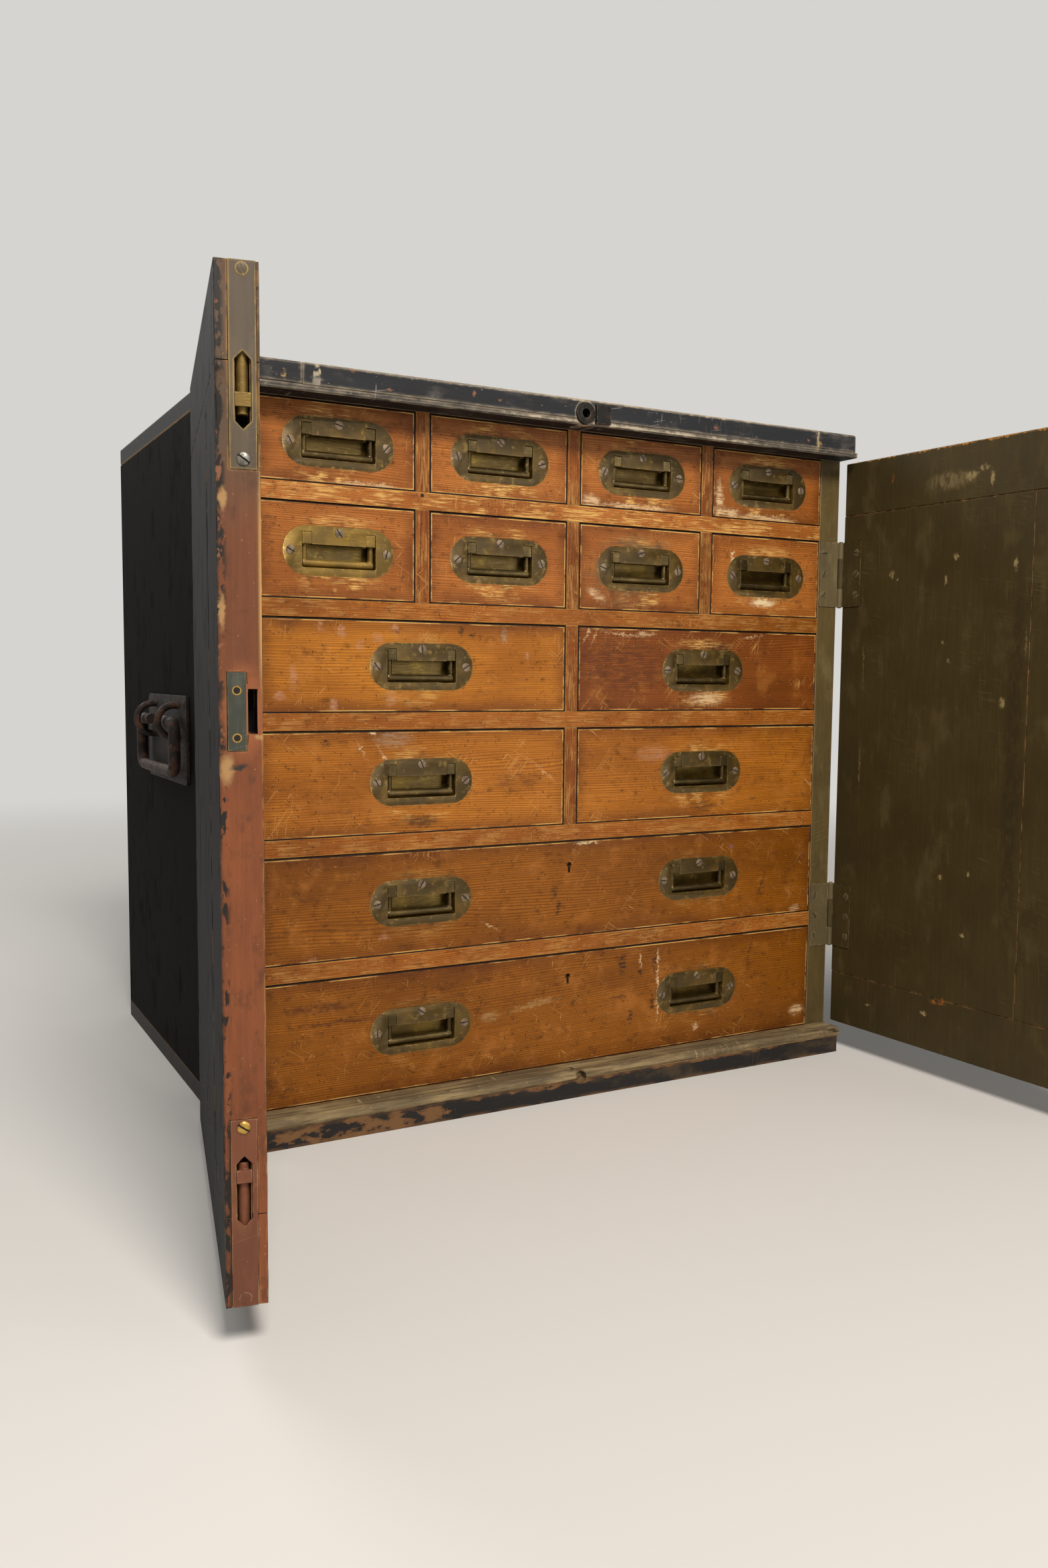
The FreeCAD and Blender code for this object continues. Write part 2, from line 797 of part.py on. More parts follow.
def bolt_plate(upper, inward):
    """Plate with the pointed slot that the thumb piece moves in."""
    end, way = bolt_end(upper)
    y = y_door - inward
    z0, z1 = span(end, way, 0, bolt_plate_len)
    s0, s1 = span(end, way, bolt_slot_near, bolt_slot_far)
    x = door_x0
    half = bolt_slot_w / 2
    plate = box(x, x + bolt_plate_t, y - bolt_plate_w / 2, y + bolt_plate_w / 2, z0, z1)
    outline = [V(x, y, s0), V(x, y + half, s0 + bolt_slot_point), V(x, y + half, s1 - bolt_slot_point),
               V(x, y, s1), V(x, y - half, s1 - bolt_slot_point), V(x, y - half, s0 + bolt_slot_point)]
    return plate.cut(prism(outline, V(bolt_plate_t, 0, 0)))


def flush_bolt(upper, inward, thumb):
    """Sliding rod with its thumb piece."""
    end, way = bolt_end(upper)
    y = y_door - inward
    x = door_x0 + bolt_plate_t + thumb_gap + bolt_r
    z0, z1 = span(end, way, bolt_shy, thumb + thumb_h)
    t0, t1 = span(end, way, thumb - thumb_h / 2, thumb + thumb_h / 2)
    half = bolt_slot_w / 2 - thumb_gap
    stem = rod(V(x, y, z0), V(0, 0, 1), bolt_r, z1 - z0)
    thumb_piece = box(door_x0, door_x0 + bolt_plate_t, y - half, y + half, t0, t1)
    neck = box(door_x0 + bolt_plate_t / 2, x, y - thumb_neck / 2, y + thumb_neck / 2, t0, t1)
    return fuse([stem, thumb_piece, neck])


def keep_bed():
    y = y_door - keep_in
    return box(door_x0, door_x0 + bolt_plate_t, y - keep_w / 2, y + keep_w / 2,
               lock_z - keep_h / 2, lock_z + keep_h / 2)


def keep_mortise():
    y = y_door - lock_in
    return box(door_x0, door_x0 + mortise_d, y - mortise_w / 2, y + mortise_w / 2,
               lock_z - mortise_h / 2, lock_z + mortise_h / 2)


def door_lock_block():
    x0 = door_x0 + bolt_plate_t
    return box(x0, x0 + lock_case_w, y_door - lock_case_t, y_door,
               lock_z - lock_case_h / 2, lock_z + lock_case_h / 2)


def door_selvedge():
    return box(door_x0, door_x0 + bolt_plate_t, y_door - selvedge_w, y_door,
               lock_z - selvedge_h / 2, lock_z + selvedge_h / 2)


def door_lock_bolt(play):
    y = y_door - lock_in
    thick = lock_bolt_t / 2 + play
    half = lock_bolt_h / 2 + play
    return box(door_x0, door_x0 + lock_bolt_len + play, y - thick, y + thick,
               lock_z - half, lock_z + half)


def door_key_hole():
    return key_hole(door_x0 + door_key_in, lock_z + key_slot / 2, y_door - door_t)


# Chest handles, drawn on the right-hand side

def handle_plate():
    """Back plate with its corners rounded."""
    x = case_w / 2
    y = y_face + handle_y
    half = handle_plate_w / 2
    plate = box(x, x + handle_plate_t, y - half, y + half,
                handle_plate_z - handle_plate_h / 2, handle_plate_z + handle_plate_h / 2)
    corners = []
    for e in plate.Edges:
        a, b = e.Vertexes[0].Point, e.Vertexes[-1].Point
        if abs(a.x - b.x) > handle_plate_t / 2:
            corners.append(e)
    return plate.makeFillet(handle_corner_r, corners)


def staple(y):
    """A half loop of bar that carries one end of the bail."""
    x = case_w / 2 + handle_plate_t
    x_far = case_w / 2 + staple_reach - staple_r
    loop = staple_feet / 2
    stops = [V(x, y, handle_z - loop), V(x_far, y, handle_z - loop),
             V(x_far, y, handle_z + loop), V(x, y, handle_z + loop)]
    return bent_bar(stops, loop, staple_r, V(0, 1, 0))


def chest_bail():
    """Bar bent to a handle, its ends turned inwards through the staples."""
    x = case_w / 2 + handle_off
    yc = y_face + handle_y
    end = handle_leg_y - handle_end_len
    z0 = handle_z - handle_drop
    stops = [V(x, yc - end, handle_z), V(x, yc - handle_leg_y, handle_z), V(x, yc - handle_leg_y, z0),
             V(x, yc + handle_leg_y, z0), V(x, yc + handle_leg_y, handle_z), V(x, yc + end, handle_z)]
    return bent_bar(stops, handle_bend, handle_r, V(1, 0, 0))


os.makedirs("parts", exist_ok=True)

save("top_board", top_board())
save("base_board", base_board())
save("carcase_walls", carcase_walls())
save("drawer_dividers", drawer_dividers())

handle_y_places = [y_face + handle_y - staple_y, y_face + handle_y + staple_y]
fixed_iron = [case_leaf(z) for z in (hinge_up, hinge_low)]
fixed_iron += [hinge_pin(z) for z in (hinge_up, hinge_low)]
fixed_iron += [handle_plate()] + [staple(y) for y in handle_y_places]
save("case_ironwork", fixed_iron + mirrored(fixed_iron) + boss())
save("right_handle", [chest_bail()])
save("left_handle", mirrored([chest_bail()]))

for name, row, x0, x1, z0, z1 in cells():
    save("drawer_" + name, drawer(x0, x1, z0, z1))
    centres = pull_centres(x0, x1, z0, z1)
    brass = [pull_plate(cx, cz) for cx, cz in centres]
    if len(centres) > 1:
        brass.append(drawer_lock(z1))
        save("lock_bolt_" + name, [drawer_bolt(z1, 0)])
    save("pull_plate_" + name, brass)
    for i, (cx, cz) in enumerate(centres):
        label = name + "ab"[i] if len(centres) > 1 else name
        save("bail_" + label, [bail(cx, cz)])

left_beds = bolt_beds(True, top_bolt_in) + bolt_beds(False, foot_bolt_in)
left_beds += [keep_bed(), keep_mortise()]
keep = keep_bed()
left_brass = [door_leaf(z) for z in (hinge_up, hinge_low)]
left_brass += [bolt_plate(True, top_bolt_in), bolt_plate(False, foot_bolt_in), keep]
save("left_door", open_door(door_boards(left_beds), left_open_deg, -1))
save("left_door_fittings", open_door(left_brass, left_open_deg, -1))
save("top_bolt", open_door([flush_bolt(True, top_bolt_in, top_thumb)], left_open_deg, -1))
save("foot_bolt", open_door([flush_bolt(False, foot_bolt_in, foot_thumb)], left_open_deg, -1))

right_beds = [door_lock_block(), door_selvedge(), door_key_hole()]
lock = fuse([door_lock_block(), door_selvedge()])
lock = lock.cut([door_lock_bolt(lock_play), door_key_hole()])
right_brass = [door_leaf(z) for z in (hinge_up, hinge_low)] + [lock]
save("right_door", open_door(door_boards(right_beds), right_open_deg, 1))
save("right_door_fittings", open_door(right_brass, right_open_deg, 1))
save("door_lock_bolt", open_door([door_lock_bolt(0)], right_open_deg, 1))
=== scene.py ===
import json
from functools import reduce
from math import cos, dist, pi, radians, sin

import bmesh
import bpy
from mathutils import Matrix, Vector, noise


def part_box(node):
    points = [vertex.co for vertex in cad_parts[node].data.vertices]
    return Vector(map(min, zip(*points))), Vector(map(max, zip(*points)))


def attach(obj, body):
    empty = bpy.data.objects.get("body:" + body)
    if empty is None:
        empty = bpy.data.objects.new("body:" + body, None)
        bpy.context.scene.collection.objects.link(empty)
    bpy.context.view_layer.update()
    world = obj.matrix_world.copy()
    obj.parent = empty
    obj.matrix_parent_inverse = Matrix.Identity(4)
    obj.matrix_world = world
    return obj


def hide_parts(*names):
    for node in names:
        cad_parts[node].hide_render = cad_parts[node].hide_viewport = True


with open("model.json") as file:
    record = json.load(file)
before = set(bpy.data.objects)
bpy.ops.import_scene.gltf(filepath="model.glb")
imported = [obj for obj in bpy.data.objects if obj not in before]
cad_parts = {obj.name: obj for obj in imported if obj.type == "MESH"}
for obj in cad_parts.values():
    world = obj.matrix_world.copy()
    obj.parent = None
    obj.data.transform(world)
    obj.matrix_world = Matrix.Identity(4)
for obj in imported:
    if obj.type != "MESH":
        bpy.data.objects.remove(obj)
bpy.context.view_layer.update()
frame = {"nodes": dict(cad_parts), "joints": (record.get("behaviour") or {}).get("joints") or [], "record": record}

# A collectors cabinet: fourteen drawers with let-in brass pulls behind two painted doors.
# Blender's units are metres. Sizes are written in millimetres and meet MM where they are used.
# x runs to the right, y to the back and z up.

MM = 0.001

# Where the picture was taken from
view_place = (-622.9, -1284.2, 417.5)
view_turn = 28.33
view_tilt = -4.93
view_roll = 0.50
view_lens = 28.28
film_long_side = 36.0

# Where the fronts lie, and how far behind them their marks still show, in metres
front_y = -0.24
front_reach = 0.09

# Softening of arrises, and the dents in the ones that hands and knocks reach
board_arris = 1.3
side_arris = 0.4
drawer_arris = 0.55
rail_arris = 0.7
metal_arris = 0.35
flat_angle = 1.0
arris_angle = 38.0
dent_step = 6.0

# Pulls, about the middle of the plate
pull_drop = 1.3
plate_w = 104.0
plate_h = 43.5
plate_t = 2.2
recess_half_w = 34.75
recess_foot = -14.75
recess_head = 5.75
recess_d = 12.0
recess_corner = 1.6
notch_w = 9.6
notch_head = 16.75
notch_d = 9.0
pan_wall = 2.0
screw_out = 45.0
screw_up = 16.4
bar_half = 33.7
bar_r = 3.4
bar_in = 5.5
bar_drop = 10.45
arm_r = 2.6
arm_top = 9.4
pad_w = 9.3
pad_t = 3.6
pad_foot = 5.75
pad_head = 16.45
casting_voxel = 0.42

# Screws
screw_r = 4.0
screw_proud = 0.4
leaf_screw_proud = 0.15
screw_sunk = 0.8
slot_w = 1.1

# Hinges, on the closed door
leaf_screw_pitch = 22.8
leaf_screw_x = 322.0
leaf_proud = 0.8
leaf_apart = 0.4
hinge_levels = (534.5, 152.3)

# Edge of the left door as it stands closed: its plane, and how far in from its inner face
edge_x = -1.0
inner_y = -228.5
ball_r = 4.2
ball_proud = 1.7
ball_level_steel = 543.0
ball_level_brass = 143.0
top_plate_in = 10.0
foot_plate_in = 14.0
plate_end_levels = (650.5, 35.0)
keep_in = 15.35
keep_hole_levels = (408.5, 380.4)
keep_hole_r = 2.0

# Chest handles
case_half = 341.0
handle_plate_t = 3.0
handle_plate_half = (79.0, 36.0)
handle_plate_z = 353.0
handle_r = 5.75
handle_bend = 12.0
handle_z = 371.0
handle_off = 12.4
handle_drop = 49.0
handle_end_len = 48.0
staple_r = 3.4
staple_y = 50.0
staple_half = 16.0
staple_reach = 26.0

# Small hole beside the first muntin
peg_hole = (-161.5, 583.5)
peg_hole_r = 1.7

body_of = {}
for body, members in frame["record"]["behaviour"]["bodies"].items():
    for member in members:
        body_of[member] = body
joints = {joint["name"]: joint for joint in frame["joints"]}


# Handling of pieces

def pick(*pieces):
    """Makes these pieces the selection, the last one active."""
    bpy.ops.object.select_all(action="DESELECT")
    for piece in pieces:
        piece.select_set(True)
    bpy.context.view_layer.objects.active = pieces[-1]


def modify(piece, kind, **settings):
    """Adds a modifier with its settings and applies it."""
    pick(piece)
    modifier = piece.modifiers.new(kind.lower(), kind)
    for name, value in settings.items():
        setattr(modifier, name, value)
    bpy.ops.object.modifier_apply(modifier=modifier.name)


def bevel(piece, width, segments=2, **settings):
    modify(piece, "BEVEL", width=width * MM, segments=segments, limit_method="ANGLE", **settings)


def primitive(kind, sizes, **settings):
    """A new primitive with its place in its mesh; radius, depth, size and location are in sizes."""
    bpy.ops.object.select_all(action="DESELECT")
    metres = {name: (Vector(size) if name == "location" else size) * MM for name, size in sizes.items()}
    getattr(bpy.ops.mesh, "primitive_" + kind + "_add")(**metres, **settings)
    bpy.ops.object.transform_apply(location=True, rotation=True, scale=True)
    return bpy.context.object


def joined(name, parts):
    pick(*parts)
    if len(parts) > 1:
        bpy.ops.object.join()
    whole = bpy.context.view_layer.objects.active
    whole.name = name
    whole.data.name = name
    return whole


def copied(piece, name, matrix):
    """A copy with its own mesh, carried by matrix."""
    mesh = piece.data.copy()
    mesh.name = name
    mesh.transform(matrix)
    return placed(name, mesh)


def placed(name, data):
    """A new object on this data, in the scene."""
    piece = bpy.data.objects.new(name, data)
    bpy.context.scene.collection.objects.link(piece)
    return piece


def discard(piece):
    bpy.data.objects.remove(piece)


def smooth(piece, angle=35.0):
    pick(piece)
    bpy.ops.object.shade_smooth_by_angle(angle=radians(angle))


def finish_all(piece, *finishes):
    piece.data.materials.clear()
    for finish in finishes:
        piece.data.materials.append(finish)


def dress(piece, choose):
    """Gives each face the finish that choose names from its middle and its normal."""
    places = {}
    for face in piece.data.polygons:
        finish = choose(face.center, face.normal)
        if finish.name not in places:
            places[finish.name] = len(places)
            piece.data.materials.append(finish)
        face.material_index = places[finish.name]


def mount(piece, body):
    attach(piece, body)
    return piece


def block(name, outline, y0, y1):
    """A prism on an outline of (x, z) points, between two depths."""
    n = len(outline)
    points = [(x * MM, y * MM, z * MM) for y in (y0, y1) for x, z in outline]
    faces = [tuple(range(n)), tuple(range(2 * n - 1, n - 1, -1))]
    faces += [(i, i + n, (i + 1) % n + n, (i + 1) % n) for i in range(n)]
    mesh = bpy.data.meshes.new(name)
    mesh.from_pydata(points, [], faces)
    return placed(name, mesh)


def rounded(x0, x1, z0, z1, r, steps):
    """Outline of a rectangle with round corners; half its height as radius makes round ends."""
    out = []
    for cx, cz, start_at in ((x1 - r, z0 + r, -90), (x1 - r, z1 - r, 0),
                             (x0 + r, z1 - r, 90), (x0 + r, z0 + r, 180)):
        for i in range(steps + 1):
            turn = radians(start_at + 90 * i / steps)
            point = (cx + r * cos(turn), cz + r * sin(turn))
            if not out or dist(point, out[-1]) > 0.01:
                out.append(point)
    return out if dist(out[0], out[-1]) > 0.01 else out[:-1]


def hole(radius, proud, finish):
    """A flat round patch that stands a hair proud of its face and looks like a hole in it: in the near-black
    finish it is painted shade standing for the hole.
    """
    piece = block("hole", rounded(-radius, radius, -radius, radius, radius, 6), -proud, 0.2)
    finish_all(piece, finish)
    return piece


def carve(piece, tool, operation="DIFFERENCE"):
    modify(piece, "BOOLEAN", object=tool, operation=operation, solver="EXACT")
    discard(tool)


# Softened copies of the construction

def solid_meshes(node):
    """The node's triangles as one mesh for each closed solid.

    A solid's triangles follow one another, and it is whole once each edge has met its opposite."""
    source = frame["nodes"][node].data
    meshes = []
    points, faces, waiting = {}, [], {}
    loose = 0
    for face in source.polygons:
        ring = []
        for i in face.vertices:
            spot = source.vertices[i].co.to_tuple(7)
            ring.append(points.setdefault(spot, len(points)))
        if len(set(ring)) < 3:
            continue
        faces.append(ring)
        for a, b in zip(ring, ring[1:] + ring[:1]):
            if waiting.get((b, a), 0) > 0:
                waiting[b, a] -= 1
                loose -= 1
            else:
                waiting[a, b] = waiting.get((a, b), 0) + 1
                loose += 1
        if loose == 0:
            mesh = bpy.data.meshes.new(node)
            mesh.from_pydata(list(points), [], faces)
            meshes.append(mesh)
            points, faces, waiting = {}, [], {}
    return meshes


def dented(part, along, depth, seed):
    """Cuts the piece across in short lengths and sets its rounded arrises back unevenly."""
    shape = bmesh.new()
    shape.from_mesh(part.data)
    axis = "xyz".index(along)
    places = [v.co[axis] for v in shape.verts]
    low, high = min(places), max(places)
    count = int((high - low) / dent_step / MM)
    way = Vector((0, 0, 0))
    way[axis] = 1.0
    for i in range(1, count):
        place = Vector((0, 0, 0))
        place[axis] = low + (high - low) * i / count
        everything = shape.verts[:] + shape.edges[:] + shape.faces[:]
        bmesh.ops.bisect_plane(shape, geom=everything, plane_co=place, plane_no=way, dist=1e-5)
    shape.normal_update()
    for v in shape.verts:
        slant = sorted(abs(c) for c in v.normal)
        if slant[1] < 0.2:
            continue
        here = v.co / MM
        drift = noise.noise(Vector((here.x / 21, here.y / 90 + seed, here.z / 21)))
        knock = noise.noise(Vector((here.x / 6, here.y / 40 - seed, here.z / 6)))
        back = max(0.0, 0.45 + 0.55 * drift) + 1.3 * max(0.0, knock - 0.25)
        v.co -= v.normal * (back * depth * MM)
    shape.to_mesh(part.data)
    shape.free()


sharp = {"angle_limit": radians(arris_angle), "harden_normals": True}


def softened(node, name, arris, choose, keep=None, segments=2, dents=None):
    """The node's solids with their flat faces whole and their arrises rounded, as one piece."""
    parts = []
    for i, mesh in enumerate(solid_meshes(node)):
        part = placed(name, mesh)
        low, high = Vector(part.bound_box[0]), Vector(part.bound_box[6])
        if keep and not keep(low, high):
            discard(part)
            continue
        pick(part)
        bpy.ops.object.mode_set(mode="EDIT")
        bpy.ops.mesh.select_all(action="SELECT")
        bpy.ops.mesh.dissolve_limited(angle_limit=radians(flat_angle))
        bpy.ops.object.mode_set(mode="OBJECT")
        bpy.ops.object.shade_smooth()
        bevel(part, arris, segments, **sharp)
        if dents:
            dented(part, *dents, seed=3.7 * i)
        dress(part, lambda middle, normal: choose(middle, normal, low, high))
        parts.append(part)
    return joined(name, parts)


def stand_for(node, name, arris, slot, choose, **settings):
    piece = softened(node, name, arris, choose, **settings)
    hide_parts(node)
    return mount(piece, body_of[node])


def closing(door):
    """The matrix that turns an open door and what it carries back to where they stand closed."""
    hinge = joints[door + "_hinge"]
    pin = Vector(hinge["pos_m"])
    turn = Matrix.Rotation(radians(hinge["range_deg"][0]), 4, Vector(hinge["axis"]))
    return Matrix.Translation(pin) @ turn @ Matrix.Translation(-pin)


# Finishes

def linear(tone):
    """The shader's colour for an sRGB hex value."""
    channels = []
    for i in (1, 3, 5):
        c = int(tone[i:i + 2], 16) / 255
        channels.append(c / 12.92 if c <= 0.04045 else ((c + 0.055) / 1.055) ** 2.4)
    return (*channels, 1.0)


def add(kind, inputs=(), stops=(), tree=None, **settings):
    """Adds one node with its settings, to the tree that its links come from or to the one named.

    Each input named gets a value or a link."""
    values = dict(inputs)
    links = [value for value in values.values() if isinstance(value, bpy.types.NodeSocket)]
    node = (tree or links[0].id_data).nodes.new("ShaderNode" + kind)
    for name, value in settings.items():
        setattr(node, name, value)
    for i, (position, tone) in enumerate(stops):
        ramp = node.color_ramp.elements
        stop = ramp[i] if i < 2 else ramp.new(position)
        stop.position = position
        stop.color = linear(tone)
    for key, value in values.items():
        if isinstance(value, bpy.types.NodeSocket):
            node.id_data.links.new(value, node.inputs[key])
        else:
            node.inputs[key].default_value = linear(value) if isinstance(value, str) else value
    return node.outputs


def calc(operation, *values):
    return add("Math", dict(enumerate(values)), operation=operation)[0]


def both(*masks):
    return reduce(lambda whole, mask: calc("MULTIPLY", whole, mask), masks)


def either(*masks):
    return reduce(lambda whole, mask: calc("MAXIMUM", whole, mask), masks)


def blend(mask, low, high):
    """A value between low and high."""
    return add("MapRange", {"Value": mask, "To Min": low, "To Max": high})[0]


def step(value, low, high):
    """0 at low, rising smoothly to 1 at high."""
    return add("MapRange", {"Value": value, "From Min": low, "From Max": high},
               interpolation_type="SMOOTHSTEP")[0]


def coats(ground, *upper):
    """Colours laid one over another, each as strong as it says where its mask is 1."""
    for mask, strength, tone in upper:
        ground = add("Mix", {0: blend(mask, 0.0, strength), 6: ground, 7: tone}, data_type="RGBA")[2]
    return ground


def start(name, door=None):
    """A new finish, and the point on the piece; on a door, as it stands closed."""
    finish = bpy.data.materials.new(name)
    finish.use_nodes = True
    finish.node_tree.nodes.clear()
    point = add("TexCoord", tree=finish.node_tree)["Object"]
    if door:
        place = closing(door)
        point = add("Mapping", {"Vector": point, "Location": place.translation,
                                "Rotation": place.to_euler()})[0]
    return finish, point


def surface(colour, roughness, height, relief, specular=0.5, metallic=0.0):
    """Ends a finish: colour, roughness and relief, in millimetres, go into one shader."""
    bump = add("Bump", {"Height": height, "Distance": relief * MM, "Strength": 1.0})["Normal"]
    shader = add("BsdfPrincipled", {"Base Color": colour, "Roughness": roughness, "Metallic": metallic,
                                    "Specular IOR Level": specular, "Normal": bump})[0]
    add("OutputMaterial", {"Surface": shader})


def along_only(along, value):
    """Three factors: the value along one axis, and 1 along the others."""
    return [value if axis == along else 1.0 for axis in "xyz"]


def islands(point, size, low, high, seed, detail, along="x", ratio=1.0):
    """Irregular islands about size millimetres across, drawn out along an axis: 1 inside, 0 outside."""
    spread = add("Mapping", {"Vector": point, "Location": (seed, -seed, 2 * seed),
                             "Scale": along_only(along, 1 / ratio)})[0]
    value = add("TexNoise", {"Vector": spread, "Scale": 1000 / size, "Detail": detail,
                             "Roughness": 0.6})[0]
    return step(value, low, high)


def scratches(point, seed, patch, *lines):
    """Fine straight lines in the plane of x and z, in patches: (tilt from the level, length, seed)."""
    out = []
    for tilt, length, turn in lines:
        turned = add("Mapping", {"Vector": point, "Rotation": (0, radians(tilt), 0),
                                 "Scale": (1, 1 / 30, 1)})[0]
        out.append(islands(turned, 0.9, 0.72, 0.78, seed + turn, 0.0, "x", length / 0.9))
    return both(either(*out), islands(point, *patch, seed + 12, 2.0))


def arrises(point, reach):
    """1 at an arris, falling to 0 within reach, from how far a rounded normal leaves the face's."""
    rounded_off = add("Bevel", {"Radius": reach * MM}, tree=point.id_data, samples=4)[0]
    face = add("NewGeometry", tree=point.id_data)["True Normal"]
    same = add("VectorMath", {0: rounded_off, 1: face}, operation="DOT_PRODUCT")["Value"]
    return add("MapRange", {"Value": same, "From Min": 0.999, "From Max": 0.78})[0]


def region(point, x, z, half_w, half_h, tilt=0.0, firm=0.3):
    """1 in an ellipse on the front, 0 from its rim on; firm is where it begins to fall."""
    near = add("Mapping", {"Vector": point, "Location": (x * MM, front_y, z * MM),
                           "Rotation": (0, radians(tilt), 0),
                           "Scale": (half_w * MM, front_reach, half_h * MM)}, vector_type="TEXTURE")[0]
    reach = add("VectorMath", {0: near}, operation="LENGTH")["Value"]
    return step(reach, 1.0, firm)


def frayed(point, reach):
    """The point moved about by up to reach millimetres, so that outlines fray."""
    drift = add("TexNoise", {"Vector": point, "Scale": 240.0, "Detail": 5.0,
                             "Roughness": 0.65})["Color"]
    offset = add("VectorMath", {0: drift, 1: (0.5, 0.5, 0.5)}, operation="SUBTRACT")[0]
    wide = (2 * reach * MM,) * 3
    return add("VectorMath", {0: offset, 1: wide, 2: point}, operation="MULTIPLY_ADD")[0]


def from_rim(point, face):
    """How far, in millimetres, a point of a front lies in from its nearest side."""
    x0, x1, z0, z1 = face
    at = add("SeparateXYZ", {0: point})
    across = calc("ABSOLUTE", calc("SUBTRACT", at["X"], (x0 + x1) / 2 * MM))
    up = calc("ABSOLUTE", calc("SUBTRACT", at["Z"], (z0 + z1) / 2 * MM))
    nearest = calc("MINIMUM", calc("SUBTRACT", (x1 - x0) / 2 * MM, across),
                   calc("SUBTRACT", (z1 - z0) / 2 * MM, up))
    return calc("DIVIDE", nearest, MM)


def wear(point, reach, amount, size, seed, along="x", ratio=1.0):
    """Noise that only passes its thresholds where the arrises raise it: there the finish is gone."""
    edge = arrises(point, reach)
    noisy = islands(point, size, 0.25, 0.75, seed, 5.0, along, ratio)
    return calc("MULTIPLY_ADD", edge, amount, calc("MULTIPLY", noisy, 0.6))


def above(value, level, soft=0.03):
    return step(value, level - soft, level + soft)


def marked(point, reach, marks, ragged, least):
    """Coats for marks (tone, strength, ellipses), frayed by up to reach and ragged inside."""
    moved = frayed(point, reach)
    out = []
    for tone, strength, spots in marks:
        mask = either(*[region(moved, *spot) for spot in spots])
        out.append((both(mask, blend(ragged, least, 1.0)), strength, tone))
    return out


def pine(point, along, ring, tones, seed):
    """Growth rings about a pith far outside the board, drawn out along the grain.

    tones are the early wood, the middle and the late wood. Gives the colour and the fibres."""
    pith = [0.11 + 0.07 * sin(seed * 5), 0.16 + 0.05 * sin(seed * 3), 0.33]
    pith["xyz".index(along)] = seed
    carried = add("Mapping", {"Vector": point, "Location": pith, "Scale": along_only(along, 0.12)})[0]
    sway = add("TexNoise", {"Vector": carried, "Scale": 11.0, "Detail": 3.0})["Color"]
    level = Vector(along_only(along, 0.0))
    flattened = add("VectorMath", {0: carried, 1: level}, operation="MULTIPLY")[0]
    swayed = add("VectorMath", {0: sway, 1: 0.05 * level, 2: flattened}, operation="MULTIPLY_ADD")[0]
    radius = add("VectorMath", {0: swayed}, operation="LENGTH")["Value"]
    part = calc("FRACT", calc("MULTIPLY", radius, 1000 / ring))
    early, middle, late = tones
    rings = add("ValToRGB", {"Fac": part},
                stops=[(0.0, early), (1.0, middle), (0.45, early), (0.85, late)])["Color"]
    fibre = islands(point, 1.1, 0.3, 0.7, seed, 2.0, along, 45)
    return rings, fibre


# Wood

honey = ("#BC7824", "#B06E1E", "#8C5010")
amber = ("#B26E20", "#A6641A", "#80480E")
russet = ("#B06B2E", "#A46126", "#824818")
umber = ("#90550E", "#854D0C", "#643706")
chestnut = ("#884A18", "#7C4214", "#5E300C")
ruddy = ("#A25E1E", "#965418", "#74400F")
raw = ("#B8935F", "#AD8753", "#93703F")
worn_raw = ("#A58A63", "#967B55", "#7B6242")


